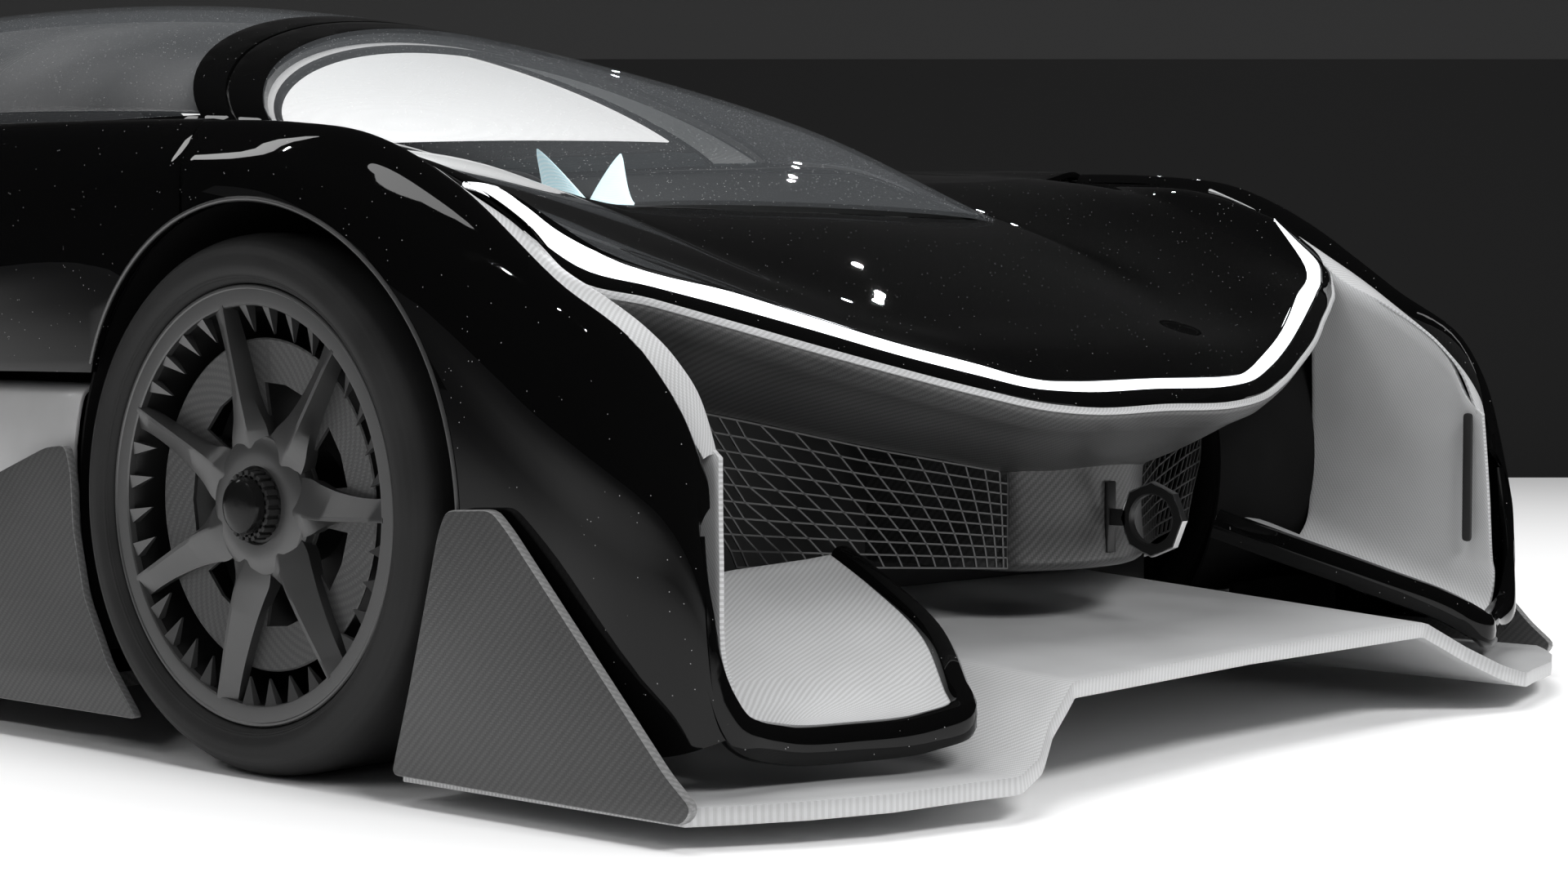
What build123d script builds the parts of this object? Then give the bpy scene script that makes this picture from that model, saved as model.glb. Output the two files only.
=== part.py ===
from build123d import *
import math
import os

os.makedirs("parts", exist_ok=True)

# Frame: millimetres, +Z up, ground at z = 0. The car points along -Y and its left side is +X.

# ---------------------------------------------------------------- driving dimensions
WHEELBASE = 2750
FRONT_OVERHANG = 903
REAR_OVERHANG = 947
HALF_WIDTH = 1000            # outermost body and tyre wall

FRONT_TYRE_R = 335
FRONT_TYRE_W = 290
REAR_TYRE_R = 355
REAR_TYRE_W = 345
TYRE_INSET = 7               # tyre wall inboard of HALF_WIDTH
RIM_FLANGE_R = 271.5
RIM_BARREL = 9               # wall of the rim's barrel
FRONT_ARCH_GAP = 37          # tyre tread to fender edge
REAR_ARCH_GAP = 40
LINER_GAP = 52               # tyre tread to wheel housing
LINER_WALL = 4

KINGPIN_INSET = 200          # kingpin axis inboard of HALF_WIDTH
STUB_R = 28                  # stub axle
RUN_CLEARANCE = 0.3          # between turning surfaces
SHUT_GAP = 6                 # shut lines round the canopy

SKIN = 10                    # body panels
GLASS = 8
FRAME_DEPTH = 24             # canopy frame bands, measured into the cabin
TUB_HALF = 600
TUB_WALL = 30
TRAY_TOP_Z = 80
PANEL = 8                    # carbon inner panels
GRILLE_INSET = 5             # grille's middle behind the edge of its opening
REAR_NECK = 40               # step inboard from the tub's side to the rear housings
REAR_INNER = TUB_HALF - REAR_NECK
LINER_FOOT_Z = 130           # lowest edge of the wheel housings
FLOOR_Z = 109                # winglet floor at its front edge
FLOOR_RISE = 0.34            # its climb towards the rear
FLOOR_CANT = 0.22            # and towards the middle of the car
TRAY_T = 20

LENGTH = FRONT_OVERHANG + WHEELBASE + REAR_OVERHANG
FRONT_AXLE_Y = FRONT_OVERHANG - LENGTH / 2
REAR_AXLE_Y = FRONT_AXLE_Y + WHEELBASE
KINGPIN_X = HALF_WIDTH - KINGPIN_INSET
FRONT_ARCH_R = FRONT_TYRE_R + FRONT_ARCH_GAP
REAR_ARCH_R = REAR_TYRE_R + REAR_ARCH_GAP
FRONT_LINER_R = FRONT_TYRE_R + LINER_GAP
REAR_LINER_R = REAR_TYRE_R + LINER_GAP
HOUSING_X = HALF_WIDTH - 50  # outer edge of the wheel housings
SIDES = (("left", 1), ("right", -1))


def front(behind):
    """Y of a station given as its distance behind the front axle."""
    return FRONT_AXLE_Y + behind


def rear(behind):
    """Y of a station given as its distance behind the rear axle."""
    return REAR_AXLE_Y + behind


def across(y, outline):
    """Closed polygon standing across the car at station y, as (x, z) points."""
    with BuildSketch(Plane.XZ.offset(-y)) as section:
        with BuildLine():
            Polyline(*outline, close=True)
        make_face()
    return section.sketch


def along(x, outline):
    """Closed polygon in the side view at x, as (y, z) points."""
    with BuildSketch(Plane.YZ.offset(x)) as section:
        with BuildLine():
            Polyline(*outline, close=True)
        make_face()
    return section.sketch


def plan(z, outline):
    """Closed polygon in the plan at height z, as (x, y) points."""
    with BuildSketch(Plane.XY.offset(z)) as section:
        with BuildLine():
            Polyline(*outline, close=True)
        make_face()
    return section.sketch


def save(builder, name):
    """Label a finished piece and write it out."""
    builder.part.label = name
    export_step(builder.part, f"parts/{name}.step")


def mirrored(points):
    """An outline in (x, y) or (x, z) with its mirror image added, in order round the shape."""
    return list(points) + [(-x, other) for x, other in reversed(points) if x > 0]


def ribbon(stations, width, height):
    """Bar of rectangular section whose centre line runs through (x, y, z) stations."""
    sections = []
    for index, here in enumerate(stations):
        before = stations[max(index - 1, 0)]
        after = stations[min(index + 1, len(stations) - 1)]
        heading = Vector(*after) - Vector(*before)
        level = Vector(heading.X, heading.Y, 0).cross(Vector(0, 0, 1))
        with BuildSketch(Plane(origin=here, x_dir=level, z_dir=heading)) as section:
            Rectangle(width, height)
        sections.append(section.sketch)
    return sections


# ---------------------------------------------------------------- bubble of glass
# One surface carries the windscreen, the canopy and the rear glass. Each row is a half ellipse:
# station, half width at the belt, height of the belt, height of the crown.
BUBBLE = [
    (front(-95), 412, 716, 730),
    (front(60), 462, 752, 815),
    (front(280), 512, 812, 906),
    (front(600), 552, 829, 1000),
    (front(1000), 572, 832, 1078),
    (front(1600), 560, 836, 1122),
    (front(2150), 500, 842, 1105),
    (rear(0), 330, 846, 985),
    (rear(350), 120, 838, 872),
]
HOOP_FOOT_Y = front(490)     # foot of the hoop at the belt, leading edge
HOOP_FOOT_Z = 838
HOOP_RAKE = 37               # degrees between the hoop's plane and the ground
HOOP_BAND = 62               # width of one band, along the car
CANOPY_END_Y = front(2050)
BELT_LAP = 30                # how far the deck runs in under the glass


def bubble(inset):
    """Sections of the bubble, drawn in by inset where it is deep enough."""
    sections = []
    for y, half, belt, crown in BUBBLE:
        rise = crown - belt - inset
        if rise < SKIN:
            continue
        with BuildSketch(Plane.XZ.offset(-y)) as section:
            with BuildLine():
                arch = EllipticalCenterArc((0, belt), half - inset, rise, start_angle=0, arc_size=180)
                Line(arch @ 1, arch @ 0)
            make_face()
        sections.append(section.sketch)
    return sections


def hoop_slab(start, stop):
    """Side outline between two planes parallel to the hoop, moved back by start and by stop."""
    run = 1500
    rise = run * math.tan(math.radians(HOOP_RAKE))
    low_y = HOOP_FOOT_Y - run
    low_z = HOOP_FOOT_Z - rise
    high_y = HOOP_FOOT_Y + run
    high_z = HOOP_FOOT_Z + rise
    return [(low_y + start, low_z), (high_y + start, high_z), (high_y + stop, high_z), (low_y + stop, low_z)]


def box_outline(low_y, low_z, high_y, high_z):
    return [(low_y, low_z), (high_y, low_z), (high_y, high_z), (low_y, high_z)]


FAR = 9000
ROOF = 2000
OVER_ROOF = 1300             # just above every roof surface
CANOPY_START = HOOP_BAND + SHUT_GAP
CANOPY_GLASS_START = CANOPY_START + HOOP_BAND
REAR_BAND = 45
CANOPY_GLASS_END = CANOPY_END_Y - REAR_BAND
REAR_GLASS_Y = CANOPY_END_Y + SHUT_GAP
HINGE_Y = CANOPY_END_Y
HINGE_Z = 1138
HINGE_PIN_R = 6
HINGE_EAR = 14
RAIL = 26                    # height of the canopy's base rails
EAR_X = 16                   # inner face of a hinge ear
EAR_T = 14
EAR_ROOT = 46                # depth of an ear below the hinge axis

with BuildPart() as windscreen:
    loft(bubble(0), ruled=True)
    loft(bubble(GLASS), ruled=True, mode=Mode.SUBTRACT)
    extrude(along(0, hoop_slab(0, FAR)), amount=HALF_WIDTH, both=True, mode=Mode.SUBTRACT)
save(windscreen, "windscreen")

with BuildPart() as windscreen_hoop:
    loft(bubble(0), ruled=True)
    loft(bubble(FRAME_DEPTH), ruled=True, mode=Mode.SUBTRACT)
    extrude(along(0, hoop_slab(0, HOOP_BAND)), amount=HALF_WIDTH, both=True, mode=Mode.INTERSECT)
save(windscreen_hoop, "windscreen_hoop")

with BuildPart() as canopy_glass:
    loft(bubble(0), ruled=True)
    loft(bubble(GLASS), ruled=True, mode=Mode.SUBTRACT)
    extrude(along(0, hoop_slab(-FAR, CANOPY_GLASS_START)), amount=HALF_WIDTH, both=True, mode=Mode.SUBTRACT)
    rear_of_glass = box_outline(CANOPY_GLASS_END, 0, CANOPY_GLASS_END + FAR, ROOF)
    extrude(along(0, rear_of_glass), amount=HALF_WIDTH, both=True, mode=Mode.SUBTRACT)
    under_glass = box_outline(front(0), 0, REAR_AXLE_Y, HOOP_FOOT_Z + RAIL)
    extrude(along(0, under_glass), amount=HALF_WIDTH, both=True, mode=Mode.SUBTRACT)
save(canopy_glass, "canopy_glass")

with BuildPart() as canopy_frame:
    loft(bubble(0), ruled=True)
    loft(bubble(FRAME_DEPTH), ruled=True, mode=Mode.SUBTRACT)
    extrude(along(0, hoop_slab(-FAR, CANOPY_START)), amount=HALF_WIDTH, both=True, mode=Mode.SUBTRACT)
    behind_canopy = box_outline(CANOPY_END_Y, 0, CANOPY_END_Y + FAR, ROOF)
    extrude(along(0, behind_canopy), amount=HALF_WIDTH, both=True, mode=Mode.SUBTRACT)
    rail_top = HOOP_FOOT_Z + RAIL
    slope = math.tan(math.radians(HOOP_RAKE))
    daylight = [
        (HOOP_FOOT_Y + CANOPY_GLASS_START + RAIL / slope, rail_top),
        (HOOP_FOOT_Y + CANOPY_GLASS_START + (OVER_ROOF - HOOP_FOOT_Z) / slope, OVER_ROOF),
        (CANOPY_GLASS_END, OVER_ROOF),
        (CANOPY_GLASS_END, rail_top),
    ]
    extrude(along(0, daylight), amount=HALF_WIDTH, both=True, mode=Mode.SUBTRACT)
    # hinge ears on the rear band, either side of the roof's centre lug
    for side in (-1, 1):
        with BuildSketch(Plane.YZ.offset(side * EAR_X)):
            with Locations((HINGE_Y, HINGE_Z)):
                Circle(HINGE_EAR)
            with BuildLine():
                Polyline(
                    (HINGE_Y, HINGE_Z + HINGE_EAR),
                    (HINGE_Y - REAR_BAND, HINGE_Z - HINGE_EAR),
                    (HINGE_Y - REAR_BAND, HINGE_Z - EAR_ROOT),
                    (HINGE_Y - SHUT_GAP / 2, HINGE_Z - EAR_ROOT),
                    (HINGE_Y - SHUT_GAP / 2, HINGE_Z - HINGE_EAR),
                    (HINGE_Y, HINGE_Z - HINGE_EAR),
                    close=True,
                )
            make_face()
        extrude(amount=side * EAR_T)
    with BuildSketch(Plane.YZ):
        with Locations((HINGE_Y, HINGE_Z)):
            Circle(HINGE_PIN_R + RUN_CLEARANCE)
    extrude(amount=HALF_WIDTH, both=True, mode=Mode.SUBTRACT)
save(canopy_frame, "canopy_frame")

with BuildPart() as rear_hoop:
    loft(bubble(0), ruled=True)
    loft(bubble(FRAME_DEPTH), ruled=True, mode=Mode.SUBTRACT)
    rear_band = box_outline(REAR_GLASS_Y, 0, REAR_GLASS_Y + REAR_BAND, ROOF)
    extrude(along(0, rear_band), amount=HALF_WIDTH, both=True, mode=Mode.INTERSECT)
    with BuildSketch(Plane.YZ):
        with Locations((HINGE_Y, HINGE_Z)):
            Circle(HINGE_EAR)
        with BuildLine():
            Polyline(
                (HINGE_Y, HINGE_Z + HINGE_EAR),
                (REAR_GLASS_Y + REAR_BAND, HINGE_Z - HINGE_EAR),
                (REAR_GLASS_Y + REAR_BAND, HINGE_Z - EAR_ROOT),
                (REAR_GLASS_Y, HINGE_Z - EAR_ROOT),
                (REAR_GLASS_Y, HINGE_Z - HINGE_EAR),
                (HINGE_Y, HINGE_Z - HINGE_EAR),
                close=True,
            )
        make_face()
    extrude(amount=EAR_X - RUN_CLEARANCE, both=True)
    with BuildSketch(Plane.YZ):
        with Locations((HINGE_Y, HINGE_Z)):
            Circle(HINGE_PIN_R)
    extrude(amount=EAR_X + EAR_T, both=True)
save(rear_hoop, "rear_hoop")

with BuildPart() as rear_glass:
    loft(bubble(0), ruled=True)
    loft(bubble(GLASS), ruled=True, mode=Mode.SUBTRACT)
    ahead_of_glass = box_outline(REAR_GLASS_Y + REAR_BAND - FAR, 0, REAR_GLASS_Y + REAR_BAND, ROOF)
    extrude(along(0, ahead_of_glass), amount=HALF_WIDTH, both=True, mode=Mode.SUBTRACT)
save(rear_glass, "rear_glass")


# ---------------------------------------------------------------- body skins
def interpolate(rows, y):
    """Columns of a table of stations, read at y."""
    for first, second in zip(rows, rows[1:]):
        if first[0] <= y <= second[0]:
            share = (y - first[0]) / (second[0] - first[0])
            return [a + share * (b - a) for a, b in zip(first[1:], second[1:])]
    return list(rows[0][1:] if y < rows[0][0] else rows[-1][1:])


def belt_at(y):
    """Half width and height of the deck's edge under the glass."""
    half, belt, crown = interpolate(BUBBLE, y)
    return half, belt - RUN_CLEARANCE


SHUT_LINE_Y = front(120)     # between the front and rear body clips

# station; inner edge, crest, side and foot, each as inset from HALF_WIDTH then height
FENDER = [
    (front(-735), 114, 300, 95, 345, 74, 300, 74, 80),
    (front(-705), 110, 400, 92, 462, 65, 400, 67, 80),
    (front(-640), 88, 470, 74, 512, 45, 440, 55, 80),
    (front(-500), 71, 587, 60, 610, 34, 520, 40, 80),
    (front(-340), 87, 690, 64, 718, 24, 640, 27, 80),
    (front(-190), 83, 762, 58, 784, 14, 700, 16, 80),
    (front(-95), 78, 785, 56, 803, 14, 705, 16, 80),
    (SHUT_LINE_Y, 75, 797, 56, 813, 14, 705, 16, 80),
]
# station; crest, side and foot, each as inset from HALF_WIDTH then height
QUARTER = [
    (SHUT_LINE_Y, 56, 813, 14, 705, 16, 495),
    (front(600), 66, 823, 30, 650, 48, 492),
    (front(1200), 118, 828, 72, 610, 100, 480),
    (front(1800), 116, 838, 64, 605, 88, 465),
    (rear(-400), 66, 862, 12, 640, 20, 430),
    (rear(0), 50, 876, 4, 680, 8, 300),
    (rear(420), 66, 860, 10, 660, 24, 290),
    (rear(800), 110, 815, 56, 640, 80, 290),
    (rear(REAR_OVERHANG), 150, 790, 96, 620, 120, 320),
]
# station; centre height, crease half width and height, edge half width and height
HOOD = [
    (front(-667), 490, 150, 488, 215, 485),
    (front(-612), 525, 272, 518, 376, 520),
    (front(-500), 571, 328, 562, 640, 597),
    (front(-410), 606, 366, 595, HALF_WIDTH - 192, 652),
    (front(-318), 642, 392, 628, HALF_WIDTH - 131, 722),
    (front(-190), 690, 410, 678, HALF_WIDTH - 101, 764),
]
DIP = 1                      # fall of a deck across the cabin opening


def fender_section(row, side):
    y, *columns = row
    points = [(HALF_WIDTH - columns[i], columns[i + 1]) for i in range(0, 8, 2)]
    edge, crest, flank, foot = points
    inner = [
        (foot[0] - SKIN, foot[1]),
        (flank[0] - SKIN, flank[1]),
        (crest[0], crest[1] - 1.6 * SKIN),
        (edge[0], edge[1] - SKIN),
    ]
    return across(y, [(side * x, z) for x, z in points + inner])


def deck_row(y, neighbour):
    """Row of the body's upper surface out to its neighbour's table, in the columns of HOOD."""
    half, belt = belt_at(y)
    inset, height = interpolate(neighbour, y)[:2]
    return (y, belt - DIP, half, belt, HALF_WIDTH - inset, height)


def deck_section(y, centre, shoulder_x, shoulder_z, edge_x, edge_z):
    top = mirrored([(edge_x, edge_z), (shoulder_x, shoulder_z), (0, centre)])
    under = [(x, z - SKIN) for x, z in reversed(top)]
    return across(y, top + under)


def space_above(row, drop):
    """Section of everything above the upper surface lowered by drop."""
    y, centre, shoulder_x, shoulder_z, edge_x, edge_z = row
    top = mirrored([(edge_x, edge_z - drop), (shoulder_x, shoulder_z - drop), (0, centre - drop)])
    return across(y, top + [(-edge_x, ROOF), (edge_x, ROOF)])


def cabin_outline(inset):
    """The glass line in plan, drawn in by inset."""
    right = [(half - inset, y) for y, half, belt, crown in BUBBLE]
    right[0] = (right[0][0], right[0][1] + inset)
    return mirrored(right)


# ---------------------------------------------------------------- nose: lamp strip, lip, keel, grilles
# Outline of the nose, from the centre to the tail of the lamp strip. Each row pairs a point on
# the strip's upper edge with one on the lip's lower edge and one at the root of the underside.
NOSE = [
    ((0, front(-667), 485), (0, front(-690), 449), (0, front(-597), 366)),
    ((190, front(-665), 485), (178, front(-687), 449), (110, front(-573), 362)),
    ((262, front(-650), 491), (262, front(-676), 457), (150, front(-545), 362)),
    ((440, front(-588), 535), (452, front(-618), 501), (330, front(-458), 398)),
    ((641, front(-499), 597), (652, front(-535), 557), (500, front(-396), 436)),
    ((790, front(-424), 645), (806, front(-462), 600), (580, front(-372), 452)),
]
STRIP_SHARE = 0.38           # lamp strip's part of the band between the two edges
STRIP_DEPTH = 14
UNDERSIDE = 8
KEEL_FOOT_Z = 238
GRILLE_FEET = [              # foot of the grille under each of the last four underside roots
    (150, front(-545), 240), (330, front(-458), 248), (500, front(-396), 256), (580, front(-372), 262),
]


def between(upper, lower, share):
    return tuple(a + share * (b - a) for a, b in zip(upper, lower))


def inward(points, index):
    """Level unit vector into the car at one point of an edge that starts on the centre line."""
    if index == 0:
        return Vector(0, 1, 0)
    before = points[index - 1]
    after = points[min(index + 1, len(points) - 1)]
    return Vector(before[1] - after[1], after[0] - before[0], 0).normalized()


def wall_sections(guide, uppers, lowers, depth):
    """Upright sections of a wall between two edges, its depth square to the guide edge in plan."""
    sections = []
    for index, (upper, lower) in enumerate(zip(uppers, lowers)):
        shift = inward(guide, index) * depth
        corners = [Vector(*upper), Vector(*lower), Vector(*lower) + shift, Vector(*upper) + shift]
        sections.append(Face(Wire.make_polygon(corners, close=True)))
    return sections


strip_top = [row[0] for row in NOSE]
lip_foot = [row[1] for row in NOSE]
roots = [row[2] for row in NOSE]
strip_foot = [between(upper, lower, STRIP_SHARE) for upper, lower in zip(strip_top, lip_foot)]


with BuildPart() as hood:
    hood_rows = HOOD + [deck_row(y, FENDER) for y in (front(-95), front(60), SHUT_LINE_Y)]
    loft([deck_section(*row) for row in hood_rows], ruled=True)
    extrude(plan(0, cabin_outline(BELT_LAP)), amount=ROOF, mode=Mode.SUBTRACT)
    # trimmed to the back of the lamp strip
    depth = STRIP_DEPTH + 2 * RUN_CLEARANCE
    back = [Vector(*point) + inward(strip_top, i) * depth for i, point in enumerate(strip_top)]
    ahead = [(HALF_WIDTH, front(-FRONT_OVERHANG)), (HALF_WIDTH, back[-1].Y)]
    ahead += [(point.X, point.Y) for point in reversed(back)]
    extrude(plan(0, mirrored(ahead)), amount=ROOF, mode=Mode.SUBTRACT)
save(hood, "hood")

LOOP_RIM = 34                # height of the black rim under the blade
# centre line of the rim, from the foot of the blade inboard round the tip and back;
# each point is its inset from HALF_WIDTH, its station and its height
RIM_PATH = [
    (88, front(-722), 150),
    (107, front(-724), 116),
    (170, front(-735), 97),
    (255, front(-770), 94),
    (338, front(-812), 101),
    (384, front(-826), 114),
    (404, front(-800), 132),
    (474, front(-712), 178),
    (532, front(-588), 224),
    (566, front(-490), 258),
]

# station behind the front axle; wall of the panel and inner edge of its floor, as insets from HALF_WIDTH
INNER_PANEL = [(-705, 120, 461), (-640, 122, 490), (-500, 130, 545), (-394, 138, 480)]
KNEE_INSET = 190             # foot of the panel's wall
FLOOR_INSET = 289            # where the winglet's floor has its named height


def winglet_z(behind, x):
    """Height of the winglet's floor."""
    return FLOOR_Z + FLOOR_RISE * (behind + 761) + FLOOR_CANT * (HALF_WIDTH - FLOOR_INSET - x)


for name, side in SIDES:
    with BuildPart() as front_fender:
        loft([fender_section(row, side) for row in FENDER], ruled=True)
        with BuildSketch(Plane.YZ):
            with Locations((FRONT_AXLE_Y, FRONT_TYRE_R)):
                Circle(FRONT_ARCH_R)
        extrude(amount=side * HALF_WIDTH * 2, mode=Mode.SUBTRACT)
        rim = [(side * (HALF_WIDTH - inset), y, z) for inset, y, z in RIM_PATH]
        loft(ribbon(rim, 26, LOOP_RIM), ruled=True)
    save(front_fender, f"front_fender_{name}")

    with BuildPart() as inner_panel:
        sections = []
        for behind, wall_inset, floor_inset in INNER_PANEL:
            wall, floor_x, foot_x = [HALF_WIDTH - inset for inset in (wall_inset, floor_inset, KNEE_INSET)]
            edge_inset, edge_z = interpolate(FENDER, front(behind))[:2]
            edge_x = HALF_WIDTH - edge_inset
            top = edge_z - SKIN - RUN_CLEARANCE
            knee = winglet_z(behind, foot_x)
            upper = [
                (edge_x, top), (wall, knee + 80), (wall - 20, knee + 25), (foot_x, knee),
                (floor_x, winglet_z(behind, floor_x)),
            ]
            lower = [
                (floor_x, winglet_z(behind, floor_x) - PANEL), (foot_x + PANEL / 2, knee - PANEL),
                (wall - 15, knee + 18), (wall + PANEL, knee + 76), (edge_x + PANEL, top),
            ]
            sections.append(across(front(behind), [(side * x, z) for x, z in upper + lower]))
        loft(sections, ruled=True)
    save(inner_panel, f"inner_panel_{name}")


with BuildPart() as light_strip:
    loft(wall_sections(strip_top, strip_top, strip_foot, STRIP_DEPTH), ruled=True)
    mirror(about=Plane.YZ)
save(light_strip, "light_strip")

with BuildPart() as nose_lip:
    loft(wall_sections(strip_foot, strip_foot, lip_foot, STRIP_DEPTH), ruled=True)
    mirror(about=Plane.YZ)
save(nose_lip, "nose_lip")

with BuildPart() as nose_keel:
    loft(wall_sections(lip_foot, lip_foot, roots, UNDERSIDE), ruled=True)
    keel_feet = [(x, y, KEEL_FOOT_Z) for x, y, z in roots[:3]]
    loft(wall_sections(lip_foot, roots[:3], keel_feet, UNDERSIDE), ruled=True)
    mirror(about=Plane.YZ)
save(nose_keel, "nose_keel")

GRILLE_BAR = 5
GRILLE_COLUMNS = 11
GRILLE_ROWS = 6
GRILLE_CROWDING = 1.4        # how far the columns crowd towards the keel
GRILLE_START = 0.02          # first column's place along the opening


def grille_point(along_share, up_share):
    """Point on the grille at shares of its length and height."""
    tops = [(x, y, z - GRILLE_BAR / 2 - RUN_CLEARANCE) for x, y, z in roots[2:]]
    place = max(along_share, GRILLE_START) * (len(GRILLE_FEET) - 1)
    index = min(int(place), len(GRILLE_FEET) - 2)
    share = place - index
    foot = between(GRILLE_FEET[index], GRILLE_FEET[index + 1], share)
    top = between(tops[index], tops[index + 1], share)
    x, y, z = between(foot, top, up_share)
    return (x, y + GRILLE_INSET, z)


with BuildPart() as front_grilles:
    for row in range(GRILLE_ROWS + 1):
        bays = len(GRILLE_FEET) - 1
        path = [grille_point(bay / bays, row / GRILLE_ROWS) for bay in range(bays + 1)]
        loft(ribbon(path, GRILLE_BAR, GRILLE_BAR), ruled=True)
    for column in range(GRILLE_COLUMNS + 1):
        share = (column / GRILLE_COLUMNS) ** GRILLE_CROWDING
        low, high = grille_point(share, 0), grille_point(share, 1)
        with BuildSketch(Plane(origin=low, x_dir=(1, 0, 0), z_dir=Vector(*high) - Vector(*low))):
            Rectangle(GRILLE_BAR, GRILLE_BAR)
        extrude(amount=(Vector(*high) - Vector(*low)).length)
    mirror(about=Plane.YZ)
save(front_grilles, "front_grilles")

HOOK_R = 50                  # across the octagon's corners, outside
HOOK_BORE_R = 33
HOOK_T = 12
HOOK_Z = 297
with BuildPart() as tow_hook:
    hook_y = roots[0][1] - HOOK_R - 22
    with BuildSketch(Plane.YZ):
        with Locations((hook_y, HOOK_Z)):
            RegularPolygon(HOOK_R, 8, rotation=22.5)
        with Locations((hook_y + HOOK_R + 8, HOOK_Z)):
            Rectangle(26, 22)
        with Locations((hook_y, HOOK_Z)):
            Circle(HOOK_BORE_R, mode=Mode.SUBTRACT)
    extrude(amount=HOOK_T / 2, both=True)
    with BuildSketch(Plane.XZ.offset(-roots[0][1])):
        with Locations((0, HOOK_Z)):
            Rectangle(20, 96)
    extrude(amount=5)
save(tow_hook, "tow_hook")

# ---------------------------------------------------------------- splitter and front strakes
# half section of the splitter's top, at its leading edge and where it meets the tray
STRAKE_OUT = 5               # strake's outer face inboard of HALF_WIDTH
STRAKE_T = 14
SPLITTER_T = 22
SPLITTER_HALF = HALF_WIDTH - STRAKE_OUT - STRAKE_T
SPLITTER_END = front(-250)
SPLITTER_LEAD = [(0, 129), (424, 132), (503, 94), (562, 66), (611, 53), (SPLITTER_HALF, 47)]
SPLITTER_TAIL = [(0, 182), (424, 178), (503, 136), (562, 92), (611, 60), (SPLITTER_HALF, 47)]
SPLITTER_PLAN = [
    (0, front(-822)), (424, front(-842)), (503, front(-864)), (562, front(-893)), (611, front(-903)),
    (668, front(-886)), (780, front(-858)), (870, front(-815)), (940, front(-768)),
    (SPLITTER_HALF, front(-735)), (SPLITTER_HALF, front(-285)), (700, front(-285)),
    (590, SPLITTER_END), (0, SPLITTER_END),
]
STRAKE = [
    (front(-280), 35), (front(-312), 140), (front(-340), 240), (front(-362), 320), (front(-376), 348),
    (front(-452), 352), (front(-478), 330), (front(-720), 82), (front(-760), 50), (front(-745), 30),
]


def sheet_below(top, depth):
    """Sheet of constant depth hung under a half section that starts on the centre line."""
    right = list(reversed(top))
    upper = mirrored(right)
    lower = [(x, z - depth) for x, z in reversed(upper)]
    return upper + lower


with BuildPart() as splitter:
    lead = sheet_below(SPLITTER_LEAD, SPLITTER_T)
    tail = sheet_below(SPLITTER_TAIL, SPLITTER_T)
    loft([across(front(-910), lead), across(SPLITTER_END, tail)], ruled=True)
    right = [point for point in SPLITTER_PLAN if point[0] > 0]
    outline = [SPLITTER_PLAN[0]] + right + [(0, SPLITTER_END)] + [(-x, y) for x, y in reversed(right)]
    extrude(plan(0, outline), amount=ROOF, mode=Mode.INTERSECT)
    for name, side in SIDES:
        extrude(along(side * SPLITTER_HALF, STRAKE), amount=side * STRAKE_T)
save(splitter, "splitter")

# ---------------------------------------------------------------- tub, tray and what they carry
TUB_FRONT_Y = SPLITTER_END
TUB_END_Y = front(2080)


SCUTTLE_Y = front(-60)       # rear face of the tub's front bulkhead
TUB_ROOM = [
    (front(-215), 120), (front(2040), 120), (front(2040), ROOF), (SCUTTLE_Y, ROOF), (SCUTTLE_Y, 660),
    (front(-215), 600),
]

with BuildPart() as tub:
    extrude(along(0, box_outline(TUB_FRONT_Y, TRAY_TOP_Z, TUB_END_Y, OVER_ROOF)), amount=TUB_HALF, both=True)
    extrude(along(0, TUB_ROOM), amount=TUB_HALF - TUB_WALL, both=True, mode=Mode.SUBTRACT)
    # topped by the underside of the hood and the rear deck
    stations = sorted({row[0] for row in BUBBLE + QUARTER if SHUT_LINE_Y <= row[0] < REAR_AXLE_Y})
    for lid_rows in (hood_rows[-5:], [deck_row(y, QUARTER) for y in stations]):
        loft([space_above(row, SKIN + RUN_CLEARANCE) for row in lid_rows], ruled=True, mode=Mode.SUBTRACT)
save(tub, "tub")

TRAY_END_Y = rear(150)
with BuildPart() as floor_tray:
    half_tray = [
        (0, SPLITTER_END), (TUB_HALF, SPLITTER_END), (TUB_HALF, front(420)), (HALF_WIDTH - 90, front(460)),
        (HALF_WIDTH - 90, rear(-470)), (REAR_INNER, rear(-430)), (REAR_INNER, TRAY_END_Y), (0, TRAY_END_Y),
    ]
    right = [point for point in half_tray if point[0] > 0]
    outline = [half_tray[0]] + right + [half_tray[-1]] + [(-x, y) for x, y in reversed(right)]
    extrude(plan(TRAY_TOP_Z - TRAY_T, outline), amount=TRAY_T)
save(floor_tray, "floor_tray")

BATTERY = (900, 320, 340)
MOTOR = (620, 420, 380)
with BuildPart() as battery_pack:
    with Locations((0, TUB_END_Y + BATTERY[1] / 2 + 5, TRAY_TOP_Z + BATTERY[2] / 2)):
        Box(*BATTERY)
save(battery_pack, "battery_pack")

with BuildPart() as rear_motor:
    with Locations((0, TRAY_END_Y - MOTOR[1] / 2 - 5, TRAY_TOP_Z + MOTOR[2] / 2)):
        Box(*MOTOR)
save(rear_motor, "rear_motor")

SUBFRAME_T = 30
with BuildPart() as rear_subframe:
    for name, side in SIDES:
        side_plate = box_outline(TUB_END_Y, TRAY_TOP_Z, TRAY_END_Y, TRAY_TOP_Z + 480)
        extrude(along(side * (REAR_INNER - SUBFRAME_T), side_plate), amount=side * SUBFRAME_T)
save(rear_subframe, "rear_subframe")

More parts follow.
